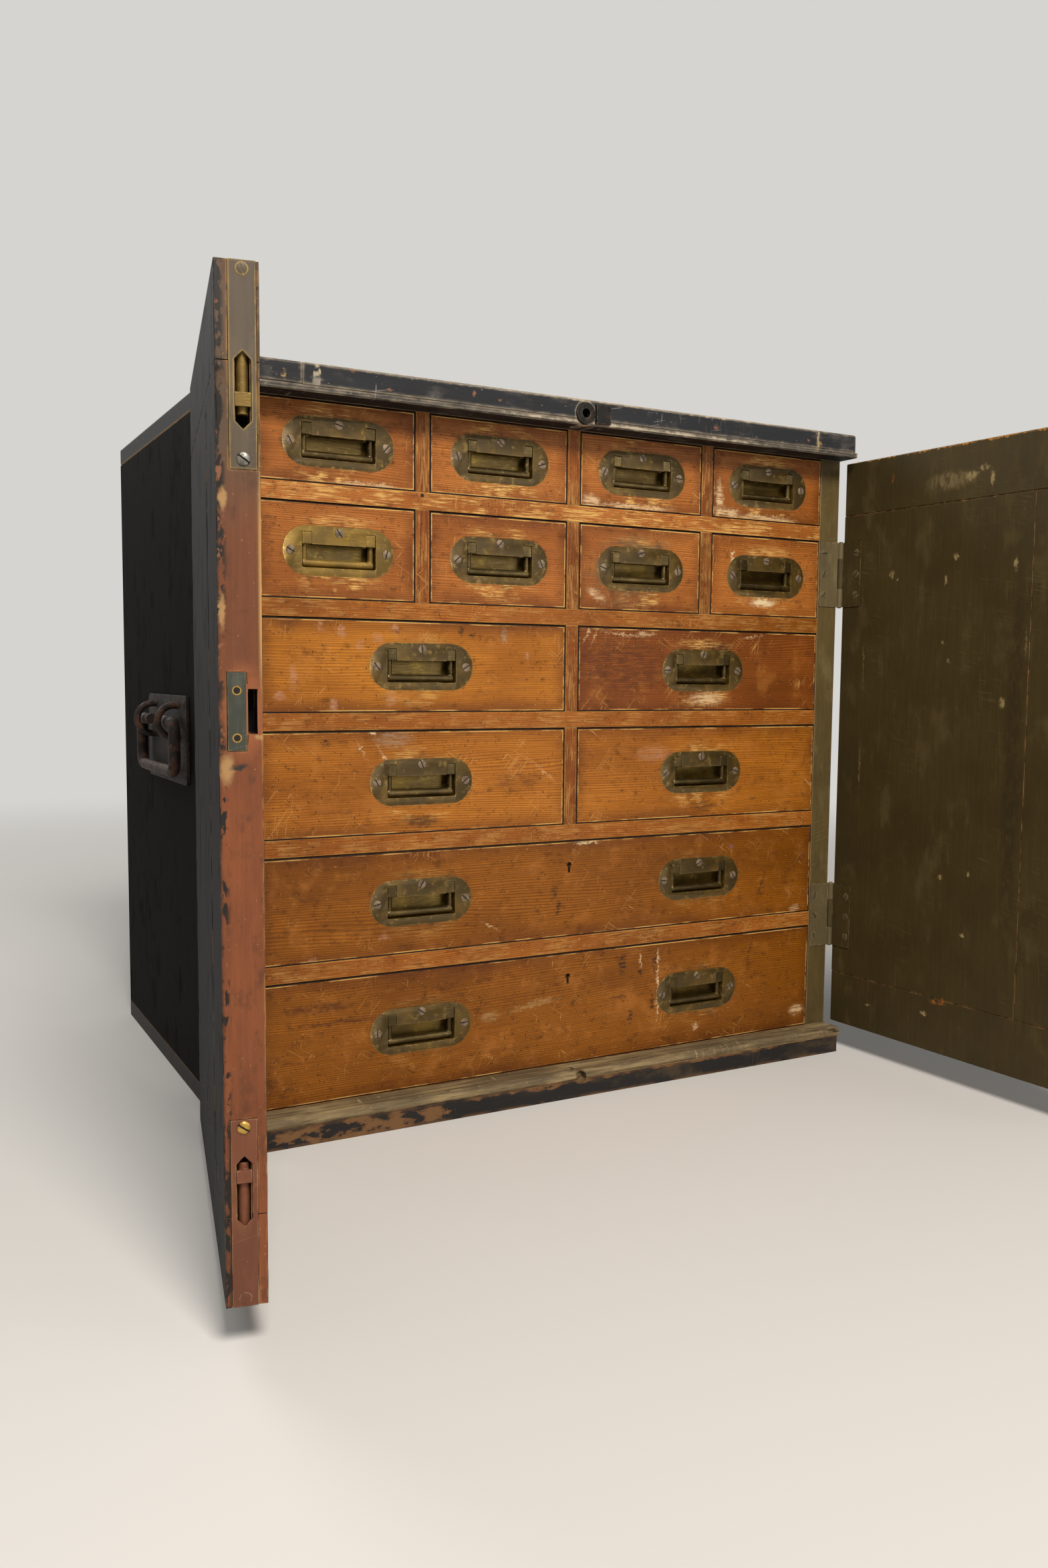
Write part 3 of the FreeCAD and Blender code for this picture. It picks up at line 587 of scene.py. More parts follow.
def varnished_pine(name, along, tones, seed, face=None, pulls=(), scuff=0.5, worn=0.5, marks=()):
    """Shellac over pine, brushed on long ago: warm and half glossy, deeper where it lies thick.

    It is rubbed through to pale wood about the pulls and along the arrises, scratched and spotted.
    marks are (tone, strength, ellipses)."""
    finish, point = start(name)
    rings, fibre = pine(point, along, 2.1, tones, seed)
    thick = islands(point, 80, 0.38, 0.66, seed, 4.0, along, 2.5)
    bloom = islands(point, 26, 0.50, 0.72, seed + 9, 4.0)
    grime = islands(point, 7, 0.54, 0.72, seed + 3, 5.0, along, 1.6)
    streak = islands(point, 1.0, 0.45, 0.58, seed + 1, 4.0, along, 18)
    patchy = islands(point, 13, 0.42, 0.58, seed + 6, 4.0, along, 2.0)
    pits = islands(point, 2.4, 0.69, 0.74, seed + 5, 1.0)
    flecks = islands(point, 2.0, 0.70, 0.74, seed + 2, 1.0, along, 1.8)
    lines = scratches(point, seed, (34, 0.54, 0.66), (52, 26, 1), (-33, 20, 2), (84, 18, 7))
    if face:
        inset = from_rim(point, face)
        broken = islands(point, 12, 0.42, 0.60, seed + 8, 5.0, along, 3.0)
        rubbed = both(step(inset, 2.3, 1.6), broken)
        # On a front: painted shade towards its rims, deeper where the shellac lies thick.
        rim_shade_and_cloud = both(step(inset, 16.0, 1.0), blend(thick, 0.45, 1.0))
        # Painted shade of the gap: the front goes near black within about 1.4 mm of its rim.
        gap = [(step(inset, 1.4, 0.8), 1.0, "#1C1008")]
    else:
        value = wear(point, 1.8, worn, 13, seed, along, 4.0)
        rubbed = above(value, 0.70, 0.08)
        # Elsewhere only a faint cloud of darker tone.
        rim_shade_and_cloud = blend(bloom, 0.0, 0.3)
        gap = []
    worn_through = [both(patchy, streak, scuff * 0.55)] if scuff and not pulls else []
    halo = []
    for x, z in pulls:
        below = region(point, x, z - 27, 50, 15)
        over = region(point, x, z + 26, 46, 10)
        worn_through.append(both(below, streak, patchy, scuff))
        worn_through.append(both(over, streak, patchy, 0.7 * scuff))
        halo.append(both(region(point, x, z, 60, 30, 0.0, 0.86), blend(grime, 0.15, 0.6)))
    upper = [(thick, 0.75, tones[2]), (bloom, 0.34, "#B47434"), (fibre, 0.30, "#5A3010"),
             (rim_shade_and_cloud, 0.65, "#552A0C"), (grime, 0.50, "#40240E"), (pits, 0.8, "#35200F")]
    if halo:
        upper.append((either(*halo), 1.0, "#43361C"))
    bare = either(rubbed, *worn_through)
    lost = either(bare, lines)
    ragged = islands(point, 2.2, 0.40, 0.58, seed + 11, 5.0, along, 6)
    colour = coats(rings, *upper, (bare, 1.0, "#CB9F5A"), (either(lines, flecks), 0.5, "#C08D50"),
                   *marked(point, 7.0, marks, ragged, 0.25), *gap)
    roughness = blend(either(lost, grime), 0.42, 0.70)
    height = calc("MULTIPLY_ADD", lost, -0.5, fibre)
    surface(colour, roughness, height, 0.13, 0.16)
    return finish


def bare_pine(name, along, tones, seed):
    """Planed pine that was never varnished: dry, pale, greyed by dust and handling."""
    finish, point = start(name)
    rings, fibre = pine(point, along, 3.0, tones, seed)
    dust = islands(point, 60, 0.4, 0.7, seed, 5.0)
    grime = islands(point, 9, 0.6, 0.75, seed + 1, 4.0)
    edge = above(wear(point, 2.0, 0.4, 8, seed), 0.72, 0.1)
    colour = coats(rings, (dust, 0.45, "#77603F"), (fibre, 0.2, "#6B4E2C"), (grime, 0.5, "#4F3A22"),
                   (edge, 0.6, "#C2A274"))
    surface(colour, 0.78, fibre, 0.12, 0.3)
    return finish


# Paint

def old_paint(name, tones, primer, wood, seed, door=None, reach=4.0, worn=0.5, chips=0.74, chip_size=8,
              along="z", rough=0.58, streaks=0.35, specks=0.4, sheen=0.25, flaked=(), marks=()):
    """Brushed oil paint over primer over pine: it has chipped first where hands and corners meet.

    tones are its dark, its own and its faded colour; primer and wood show at the chips. flaked are
    ellipses where it is coming off all over, marks (tone, strength, ellipses)."""
    finish, point = start(name, door)
    dark, own, faded = tones
    brushed = islands(point, 4, 0.35, 0.65, seed, 3.0, along, 16)
    cloud = islands(point, 80, 0.38, 0.66, seed + 1, 4.0)
    dusty = islands(point, 22, 0.52, 0.74, seed + 2, 5.0, along, 2.0)
    fleck = islands(point, 2.2, 0.735, 0.765, seed + 3, 1.0, along, 2.5)
    line = scratches(point, seed, (50, 0.52, 0.62), (86, 34, 1), (12, 24, 2))
    value = wear(point, reach, worn, chip_size, seed, along, 2.2)
    for spot in flaked:
        value = calc("MULTIPLY_ADD", region(point, *spot), 0.42, value)
    gone = above(value, chips, 0.02)
    deep = above(value, chips + 0.10, 0.03)
    upper = [(cloud, 0.6, dark), (brushed, streaks, dark), (dusty, 0.45, faded),
             (either(line, fleck), specks, faded), (gone, 1.0, primer), (deep, 1.0, wood)]
    ragged = islands(point, 5, 0.36, 0.56, seed + 6, 5.0, along, 1.8)
    colour = coats(own, *upper, *marked(point, 5.0, marks, ragged, 0.1))
    roughness = blend(either(gone, dusty), rough, rough + 0.25)
    height = calc("MULTIPLY_ADD", gone, -0.8, blend(brushed, 0.0, 0.35))
    surface(colour, roughness, height, 0.22, sheen)
    return finish


# Metal

def aged_brass(name, tones, seed, rough=0.42, metallic=0.45, bright="#A98F55", shine=0.6):
    """Cast and filed brass gone olive with age: polished only where fingers and rims rub it.

    tones are the patina, the brass under it and the grime that gathers in the low places."""
    finish, point = start(name)
    patina, brass, grime = tones
    cloud = islands(point, 24, 0.40, 0.70, seed, 4.0)
    spot = islands(point, 3.5, 0.62, 0.74, seed + 1, 4.0)
    brush = islands(point, 1.0, 0.3, 0.7, seed + 2, 2.0, "x", 14)
    edge = above(wear(point, 0.9, 0.5, 6, seed), 0.62, 0.16)
    colour = coats(patina, (cloud, 0.8, brass), (spot, 0.5, grime),
                   (brush, 0.16, grime), (edge, shine, bright))
    roughness = blend(either(spot, brush), rough, rough + 0.16)
    surface(colour, roughness, calc("SUBTRACT", brush, spot), 0.04, metallic=metallic)
    return finish


def old_iron(name, tones, seed, metallic=0.35, rough=0.6):
    """Forged iron, blacked and then rusted: dull brown in the pits, rubbed to grey on the crowns."""
    finish, point = start(name)
    black, rust, grey = tones
    cloud = islands(point, 12, 0.45, 0.62, seed, 5.0)
    pit = islands(point, 3, 0.5, 0.68, seed + 1, 5.0)
    edge = above(wear(point, 1.6, 0.5, 6, seed), 0.70, 0.12)
    colour = coats(black, (cloud, 0.8, rust), (pit, 0.5, black), (edge, 0.6, grey))
    height = calc("SUBTRACT", cloud, pit)
    surface(colour, blend(pit, rough, rough + 0.2), height, 0.25, 0.3, metallic)
    return finish


def plain_metal(name, tone, second, seed, metallic=0.9, rough=0.4):
    """A screw's or bolt's own metal, dulled unevenly."""
    finish, point = start(name)
    cloud = islands(point, 4, 0.38, 0.66, seed, 4.0)
    grain = islands(point, 0.8, 0.3, 0.7, seed + 1, 2.0)
    colour = coats(tone, (cloud, 0.9, second))
    surface(colour, blend(cloud, rough, rough + 0.25), grain, 0.04, metallic=metallic)
    return finish


black_tones = ("#080706", "#0C0B0A", "#1A1715")
black_case = old_paint("black_oil_paint_sides", black_tones, "#33241A", "#7C6649", 1.3, worn=0.42,
                       reach=3.0, sheen=0.04, rough=0.75, streaks=0.3)
top_marks = [
    ("#A58A55", 0.9, [(284, 671, 1.2, 12, 0, 0.8), (287, 668, 4, 3), (-300, 670, 3, 5)]),
    ("#7A7468", 0.9, [(-150, 682, 170, 2.6), (90, 682, 60, 2.0), (-271, 668, 7, 9)]),
    ("#8A5C42", 0.9, [(-122, 674, 3, 3), (-96, 672, 2, 2), (-205, 668, 3, 2), (-240, 680, 4, 2),
                      (150, 672, 4, 3), (270, 670, 3, 2)])]
black_top = old_paint("black_oil_paint_top", ("#131315", "#1C1D20", "#6E6A63"), "#7E7464", "#A89A84", 2.1,
                      worn=0.66, reach=4.6, chips=0.63, chip_size=5, along="x", specks=1.0, marks=top_marks,
                      flaked=[(-271, 672, 4, 12, 0, 0.8), (60, 661, 260, 2.5), (0, 684, 460, 6.5)])
black_lid = old_paint("black_oil_paint_lid", ("#131315", "#1A1B1D", "#4E4B46"), "#5F5444", "#8E8068", 2.9,
                      worn=0.50, reach=5.0, chips=0.70, chip_size=7, along="x", specks=0.6)
black_base = old_paint("black_oil_paint_base", ("#14110F", "#1D1917", "#5B4A33"), "#5C4029", "#6B4C2E", 3.7,
                       worn=0.42, reach=6.0, chips=0.66, chip_size=9, along="x",
                       flaked=[(-225, 9, 120, 12, 0, 0.6), (-30, 16, 130, 5), (150, 17, 150, 3)])
olive_stile = old_paint("olive_paint_stiles", ("#463A20", "#5C4D2B", "#776742"), "#7A5530", "#A08253", 4.4,
                        worn=0.40, reach=2.5)
door_marks = [
    ("#A08D62", 0.85, [(195, 438, 3, 4), (202, 457, 2, 4, 20), (129, 397, 4, 7), (272, 530, 4, 6),
                       (264, 525, 2, 3), (202, 520, 2, 7), (190, 543, 4, 5, 40), (120, 530, 3, 9),
                       (195, 215, 4, 4), (160, 223, 3, 3), (165, 160, 4, 3), (286, 60, 6, 2),
                       (210, 68, 5, 3), (150, 616, 3, 12), (175, 622, 10, 6), (160, 628, 8, 4)]),
    ("#7A6A45", 0.7, [(309, 316, 1.0, 48), (308, 430, 1.0, 36), (312, 510, 1.0, 12), (200, 620, 40, 12),
                      (105, 455, 1.2, 22)]),
    ("#A8742E", 1.0, [(170, 656, 190, 2.6, 0, 0.8)]),
    ("#A8632C", 0.9, [(275, 632, 3, 6), (193, 83, 12, 3), (187, 86, 5, 5)]),
    ("#2A2211", 0.6, [(115, 340, 14, 260), (40, 300, 40, 60)])]
olive_tones = ("#332A12", "#42371A", "#5C4E2C")
olive_door = old_paint("olive_paint_right_door", olive_tones, "#8E5A28", "#B08650", 5.2, door="right_door",
                       worn=0.46, reach=2.5, marks=door_marks, streaks=0.3, specks=0.5, rough=0.62)
olive_left = old_paint("olive_paint_left_door", olive_tones, "#8E5A28", "#A99364", 6.2, door="left_door",
                       worn=0.44, reach=2.5, streaks=0.3)
black_right = old_paint("black_oil_paint_right_door", black_tones, "#5A3822", "#8A7153", 7.3,
                        door="right_door", worn=0.5, reach=3.0, sheen=0.12, rough=0.68)
black_left = old_paint("black_oil_paint_left_door", black_tones, "#4A3222", "#8A7153", 8.3,
                       door="left_door", worn=0.5, reach=3.0, sheen=0.12, rough=0.68)


def primed_edge(name, seed):
    """Red-brown primer left bare by rubbing, with the outer face's black still on its arris.

    It greys towards the head of the door, where hands close it."""
    finish, point = start(name, "left_door")
    at = add("SeparateXYZ", {0: point})
    head = step(at["Z"], 0.49, 0.56)
    middle = both(step(at["Z"], 0.38, 0.45), blend(head, 1.0, 0.0))
    cloud = islands(point, 30, 0.4, 0.65, seed, 4.0, "z", 3)
    blotch = islands(point, 9, 0.50, 0.70, seed + 4, 5.0, "z", 1.6)
    fleck = islands(point, 2.4, 0.73, 0.77, seed + 1, 1.0)
    brushed = islands(point, 2, 0.35, 0.65, seed + 2, 3.0, "z", 20)
    value = wear(point, 3.2, 0.5, 6, seed, "z", 2.2)
    fringe = islands(point, 7, 0.60, 0.66, seed + 6, 4.0, "z", 2.0)
    outer = step(at["Y"], -0.2480, -0.2515)
    inner = step(at["Y"], -0.2315, -0.2290)
    side = frayed(add("CombineXYZ", {"X": at["Y"], "Y": front_y, "Z": at["Z"]})[0], 3.0)
    chip = either(*[region(side, *spot) for spot in ((-250, 362, 6, 12), (-251, 520, 3, 9),
                                                     (-230.5, 381, 4, 1.4), (-252, 455, 2.5, 14))])
    nick = either(region(side, -243, 363, 7, 2.6, -14), region(side, -229.5, 640, 2.4, 1.5))
    colour = coats("#7C4526", (cloud, 0.7, "#6A3A20"), (middle, 0.55, "#54331F"),
                   (head, 0.9, "#4C4030"), (blotch, 0.6, "#4A2D1B"), (brushed, 0.22, "#4A2C1B"),
                   (fleck, 0.5, "#A37C55"),
                   (both(above(value, 0.74, 0.05), blend(outer, 1.0, 0.0)), 1.0, "#9A7040"),
                   (both(inner, middle, blend(blotch, 1.0, 0.4)), 1.0, "#B08A55"),
                   (both(outer, above(value, 0.36)), 1.0, "#1A1613"),
                   (both(outer, fringe), 0.8, "#84563A"),
                   (region(side, -240, 396, 16, 34, 0, 0.5), 1.0, "#8A5232"),
                   (chip, 0.9, "#A07C50"), (nick, 1.0, "#2A2622"))
    relief = calc("SUBTRACT", blend(brushed, 0.0, 0.3), both(above(value, 0.7), 0.6))
    surface(colour, blend(cloud, 0.5, 0.68), relief, 0.2, 0.3)
    return finish


left_edge = primed_edge("red_primer_left_door_edge", 9.1)
nosing_wood = old_paint("worn_nosing", ("#4E412E", "#8C7854", "#A8946C"), "#4A3B28", "#2C2318", 3.1,
                        worn=0.4, reach=3.0, chips=0.68, streaks=0.9, along="x", rough=0.7, specks=0.6)
pine_across = bare_pine("planed_pine_across", "x", raw, 1.7)
pine_deep = bare_pine("planed_pine_deep", "y", raw, 2.9)
pine_upright = bare_pine("planed_pine_upright", "z", worn_raw, 4.1)
# Dark pine for the faces that lie in the gaps about the drawers: painted shade.
shaded_gap_wood = bare_pine("painted_shade_gap_wood", "x", ("#4A2E16", "#422813", "#35200E"), 8.3)
upper_rails = varnished_pine("shellac_upper_rails", "x", russet, 6.6, scuff=1.5, worn=0.6)
lower_rails = varnished_pine("shellac_lower_rails", "x", ruddy, 5.1, scuff=0.5, worn=0.62)
muntin_finish = varnished_pine("shellac_muntins", "z", chestnut, 7.9, scuff=0.6, worn=0.62)
plate_brass = aged_brass("aged_brass_plates", ("#4A3A18", "#6E5420", "#2A200C"), 1.2, metallic=0.45)
gold_brass = aged_brass("aged_brass_bright_plate", ("#6A5220", "#8E702A", "#3A2E13"), 5.6, bright="#BA9A50")
pan_brass = aged_brass("brass_pans", ("#544116", "#735B1E", "#2B220D"), 3.9, rough=0.26, metallic=0.7)
bail_brass = aged_brass("aged_brass_bails", ("#4A3D22", "#6E5A34", "#271F10"), 2.6, rough=0.24,
                        metallic=0.8, bright="#B8A06E")
door_leaf = old_paint("olive_paint_door_leaves", olive_tones, "#6E5F3E", "#8E7D55", 6.6, worn=0.42,
                      reach=1.4, chips=0.76, chip_size=5, rough=0.55, sheen=0.3)
leaf_paint = old_paint("olive_paint_hinges", ("#4E442C", "#63563A", "#7F7250"), "#7C6C48", "#A08E62", 5.9,
                       worn=0.42, reach=1.6, chips=0.72, chip_size=5, rough=0.5, sheen=0.4)
bolt_brass = aged_brass("brass_bolts", ("#6E5626", "#8A7033", "#33281A"), 3.3, metallic=0.5,
                        rough=0.42, shine=0.7)
top_plate = old_paint("olive_brown_top_plate", ("#40342A", "#524636", "#6E6250"), "#8E7430", "#A88C40", 3.6,
                      worn=0.66, reach=2.2, chips=0.70, chip_size=5, rough=0.5, sheen=0.35)
foot_plate = old_paint("red_brown_foot_plate", ("#5A3320", "#70412A", "#86573C"), "#8A7358", "#A08A6A", 3.9,
                       worn=0.55, reach=1.4, chips=0.74, chip_size=5, rough=0.5, sheen=0.35)
keep_paint = old_paint("grey_green_keep", ("#2C2F27", "#3B3E34", "#55574B"), "#7A6A3C", "#96834A", 4.9,
                       worn=0.5, reach=1.4, chips=0.74, chip_size=4, rough=0.5, sheen=0.4)
rusty_iron = old_iron("rusty_iron_bars", ("#241D19", "#54392A", "#8A7C6A"), 2.7)
black_iron = old_iron("forged_iron", ("#16120F", "#33221A", "#574D45"), 1.9)
dark_iron = old_iron("blacked_iron", ("#171513", "#33261C", "#8C8272"), 3.1)
screw_metal = plain_metal("dulled_screws", "#84705A", "#574836", 1.1, metallic=0.4, rough=0.5)
bright_brass = plain_metal("bright_brass_screw", "#C9A356", "#8C6D34", 2.2, rough=0.3)
grey_steel = plain_metal("grey_steel_screw", "#8C887F", "#55514B", 3.3, rough=0.35)
# Painted shade, near black, for screw slots cut too shallow to shade themselves and for holes that are only flat
# patches.
slot_and_hole_shade = plain_metal("slot_and_hole_shade", "#15110D", "#241C14", 4.4, metallic=0.0, rough=0.9)


# Case

def side_faces(middle, normal, low, high):
    if high.x - low.x > 0.1:
        return black_case if normal.y > 0.5 else pine_upright
    outward = normal.x * middle.x > 0 and abs(normal.x) > 0.5
    if outward or normal.y > 0.5:
        return black_case
    if normal.y < -0.5:
        return olive_stile
    return pine_upright


def divider_faces(middle, normal, low, high):
    in_front = normal.y < -0.3 and middle.y < -0.2
    if high.x - low.x > 0.3:
        if not in_front:
            # The rails' upper and lower faces by the fronts take the painted shade of the gaps.
            return shaded_gap_wood if low.y < -0.2 and abs(normal.z) > 0.5 else pine_across
        return upper_rails if low.z > 0.47 else lower_rails
    if high.x - low.x < 0.02 and low.y < -0.22:
        # The muntins' sides take the painted shade of the gaps.
        return muntin_finish if in_front else shaded_gap_wood
    return pine_deep


def top_faces(middle, normal, low, high):
    if normal.z < -0.5 and middle.y > -0.22:
        return pine_across
    return black_lid if normal.z > 0.9 else black_top


def base_faces(middle, normal, low, high):
    if normal.z < -0.5:
        return pine_across
    if normal.z > 0.3:
        return nosing_wood if middle.y < -0.16 else pine_across
    if low.z > 0.01:
        return nosing_wood
    return black_base


case = "case"
stand_for("carcase_walls", "case_sides_and_back", side_arris, "painted_wood", side_faces)
stand_for("drawer_dividers", "rails_and_muntins", rail_arris, "drawer_wood", divider_faces)
stand_for("top_board", "top_board_painted", board_arris, "painted_wood", top_faces, segments=3,
          dents=("x", 0.55))
stand_for("base_board", "base_board_painted", board_arris, "painted_wood", base_faces, segments=3,
          dents=("x", 0.8))


# Doors

def door_faces(door, outer, inner, free_edge):
    closed = closing(door)
    turn = closed.to_3x3()

    def choose(middle, normal, low, high):
        way = turn @ normal
        at = closed @ middle
        if way.y < -0.5:
            return outer
        if way.y > 0.5:
            return inner
        return free_edge if abs(at.x) < 0.01 else outer
    return choose


stand_for("left_door", "left_door_painted", board_arris, "painted_wood",
          door_faces("left_door", black_left, olive_left, left_edge), dents=("z", 0.5))
stand_for("right_door", "right_door_painted", board_arris, "painted_wood",
          door_faces("right_door", black_right, olive_door, olive_door))


def fitting_faces(middle, normal, low, high):
    tall = high.z - low.z
    if 0.069 < tall < 0.073:
        return door_leaf
    if tall < 0.05:
        return keep_paint
    return top_plate if low.z > 0.3 else foot_plate


stand_for("left_door_fittings", "left_door_leaves_and_plates", metal_arris, "painted_fittings",
          fitting_faces)
stand_for("right_door_fittings", "right_door_leaves_and_lock", metal_arris, "painted_fittings",
          fitting_faces)
for bolt, finish in (("top_bolt", bolt_brass), ("foot_bolt", foot_plate), ("door_lock_bolt", bolt_brass)):
    stand_for(bolt, bolt + "_worn", metal_arris, "brass", lambda *place: finish)


# Drawers: their tones by row or by drawer, partly painted shade, how far they are scuffed about the pulls, and
# their marks, one of them painted shadow

# The tones are partly the wood's own and partly painted shade: 3b is darker than the rest of its row, and the
# lowest rows deeper, for light falling off towards the bottom right.
drawer_tones_and_shade = {"1": russet, "2": russet, "3": honey, "3b": chestnut, "4": amber, "5": umber, "6": umber}
scuffs = {"1": 1.5, "2": 1.1, "3": 0.45, "3b": 1.2, "4": 1.0, "5": 0.3, "6": 0.25}
pale = "#C6A67C"
cream = "#DCC79E"
rosy = "#A97B5E"
inky = "#22170E"
umber_stain = "#4A2610"
drawer_marks = {
    # The dark #3A2010 bands near the heads of 1a to 1d are painted shadow, cast by the top board's overhang.
    "1a": [(pale, 0.9, [(-215, 588, 42, 4)]), ("#3A2010", 0.8, [(-235, 640, 80, 9)])],
    "1b": [("#3A2010", 0.8, [(-95, 640, 70, 9)])],
    "1c": [(pale, 0.9, [(20, 592, 14, 9), (75, 590, 60, 4)]), ("#3A2010", 0.8, [(85, 640, 70, 9)])],
    "1d": [(pale, 1.0, [(177, 600, 7, 34), (240, 590, 50, 5), (190, 592, 22, 8)]),
           ("#3A2010", 0.8, [(240, 640, 80, 9)])],
    "2b": [(cream, 1.0, [(-108, 538, 6, 1.4, 0, 0.8), (-64, 538, 6, 1.4, 0, 0.8)])],
    "2c": [("#5B4630", 0.8, [(75, 545, 60, 24), (60, 520, 60, 40)]), (pale, 0.8, [(28, 500, 18, 6, 30)])],
    "2d": [(cream, 0.9, [(237, 500, 24, 6), (196, 545, 3, 12)])],
    "3a": [(rosy, 0.75, [(-285, 415, 5, 15), (-240, 458, 6, 8), (-205, 452, 7, 6), (-222, 446, 6, 6),
                         (-248, 392, 6, 8), (-193, 398, 7, 10), (-260, 463, 4, 9), (-188, 462, 5, 6),
                         (-298, 400, 7, 6), (-50, 438, 4, 5), (-224, 478, 5, 10)]),
           ("#8C7A66", 0.9, [(-76, 458, 4, 10)]),
           (inky, 0.85, [(-121, 461, 4, 7), (-110, 457, 4, 4)]), (umber_stain, 0.6, [(-290, 470, 18, 18)])],
    "3b": [(pale, 0.9, [(18, 462, 2, 15, 30), (26, 458, 1.5, 14, 24), (60, 462, 34, 1.5, 6),
                        (88, 463, 16, 3), (224, 463, 22, 1.6, -6), (165, 397, 30, 9)]),
           (inky, 0.6, [(180, 452, 24, 7)]), (umber_stain, 0.7, [(60, 430, 90, 45)])],
    "4a": [(inky, 0.95, [(-255, 357, 7, 5, 20)]), (cream, 1.0, [(-210, 366, 5, 3)]),
           (pale, 0.8, [(-221, 350, 17, 1.3, 58), (-200, 345, 16, 1.2, 62), (-30, 325, 22, 1.0, 40)]),
           (inky, 0.7, [(-165, 283, 34, 9)]), (umber_stain, 0.5, [(-60, 316, 40, 16)]),
           ("#9A8468", 0.6, [(-190, 360, 26, 10)])],
    "4b": [(inky, 0.6, [(165, 284, 26, 8)]), (rosy, 0.5, [(100, 340, 30, 12)])],
    "5": [(cream, 0.9, [(20, 252, 18, 2.2)]), (inky, 0.8, [(-17, 204, 5, 10), (-12, 188, 4, 12)]),
          (pale, 0.8, [(294, 163, 10, 6), (-88, 176, 14, 1.2, 30)]), ("#7C5560", 0.7, [(203, 238, 3, 4)]),
          (umber_stain, 0.7, [(245, 190, 4, 24, 20)]), (rosy, 0.5, [(-200, 176, 8, 5), (-270, 160, 6, 5)])],
    "6": [(inky, 0.85, [(66, 122, 7, 15), (106, 118, 5, 20), (88, 112, 3, 5), (76, 66, 4, 10),
                        (103, 80, 2.5, 18), (60, 88, 14, 2.5), (-158, 118, 1.5, 12)]),
          (pale, 0.95, [(110, 96, 1.6, 44, 0, 0.8), (88, 124, 1.6, 13), (160, 44, 5, 6), (300, 46, 14, 8)]),
          (umber_stain, 0.8, [(-265, 115, 50, 6), (-240, 100, 60, 4), (232, 122, 3, 24, 16)]),
          ("#A27E4E", 0.6, [(-88, 86, 16, 8), (-40, 92, 40, 5, -8)])]}


def of_drawer(table, label, missing=()):
    """What the table says of this drawer, or else of its row."""
    return table.get(label, table.get(label[0], missing))


labels = sorted(node[7:] for node in body_of if node.startswith("drawer_") and node[7].isdigit())
pulls = {}
for i, label in enumerate(labels):
    pulls[label] = []
    for node in sorted(body_of):
        if node.startswith("bail_" + label):
            low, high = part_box(node)
            pulls[label].append((node, (low.x + high.x) / 2 / MM, (low.z + high.z) / 2 / MM - pull_drop))
    low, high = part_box("drawer_" + label)
    front = varnished_pine("shellac_drawer_" + label, "x", of_drawer(drawer_tones_and_shade, label), 10.0 + 1.7 * i,
                           [side / MM for side in (low.x, high.x, low.z, high.z)],
                           [(x, z) for node, x, z in pulls[label]], of_drawer(scuffs, label),
                           marks=drawer_marks.get(label, ()))

    def drawer_faces(middle, normal, low, high):
        if high.y - low.y < 0.03 and low.y < -0.2:
            if normal.y < -0.3 and middle.y < -0.2225:
                return front
            # The front's edges take the painted shade of the gaps.
            return shaded_gap_wood if abs(normal.y) < 0.5 else pine_across
        return pine_across if high.y - low.y < 0.03 else pine_deep

    stand_for("drawer_" + label, "drawer_" + label + "_boards", drawer_arris, "drawer_wood", drawer_faces)

for label in ("5", "6"):
    stand_for("lock_bolt_" + label, "lock_bolt_" + label + "_brass", metal_arris, "brass",
              lambda *place: bolt_brass)


# Pulls: one plate with its pan, and one casting, copied

def let_in_plate():
    """A plate with half-round ends and the pan behind it, its face at y 0."""
    half = plate_w / 2
    up = plate_h / 2
    plate = block("pull_plate", rounded(-half, half, -up, up, up, 14), 0, plate_t)
    wide = recess_half_w + pan_wall
    carve(plate, block("pan", rounded(-wide, wide, recess_foot - pan_wall, notch_head + pan_wall, 3, 3),
                       0.5 * plate_t, recess_d + pan_wall), "UNION")
    carve(plate, block("recess", rounded(-recess_half_w, recess_half_w, recess_foot, recess_head,
                                         recess_corner, 3), -1, recess_d))
    for side in (-1, 1):
        near, far = sorted((side * recess_half_w, side * (recess_half_w - notch_w)))
        carve(plate, block("notch", rounded(near, far, recess_head - 2, notch_head, 0.5, 1), -1,
                           notch_d))
    bevel(plate, metal_arris, **sharp)
    smooth(plate, 40.0)
    return plate


def cast_bail():
    """Bar, arms and ears run into one another as in a casting; modelled about the plate's middle."""
    bar = primitive("cylinder", {"radius": bar_r, "depth": 2 * bar_half, "location": (0, bar_in, -bar_drop)},
                    vertices=32, rotation=(0, pi / 2, 0))
    bevel(bar, 1.6, 4)
    parts = [bar]
    for side in (-1, 1):
        spot = (side * (bar_half - arm_r), bar_in, (arm_top - bar_drop) / 2)
        parts.append(primitive("cylinder", {"radius": arm_r, "depth": arm_top + bar_drop, "location": spot},
                               vertices=24))
        spot = (side * (bar_half + 0.7 - pad_w / 2), pad_t / 2, (pad_foot + pad_head) / 2)
        ear = primitive("cube", {"size": 1, "location": spot}, scale=(pad_w, pad_t, pad_head - pad_foot))
        bevel(ear, 0.5)
        parts.append(ear)
    whole = joined("bail_casting", parts)
    modify(whole, "REMESH", mode="VOXEL", voxel_size=casting_voxel * MM)
    modify(whole, "SMOOTH", factor=0.5, iterations=4)
    modify(whole, "DECIMATE", ratio=0.3)
    smooth(whole, 60.0)
    return whole


def is_lock(low, high):
    return high.y < -0.2 and high.x * low.x < 0


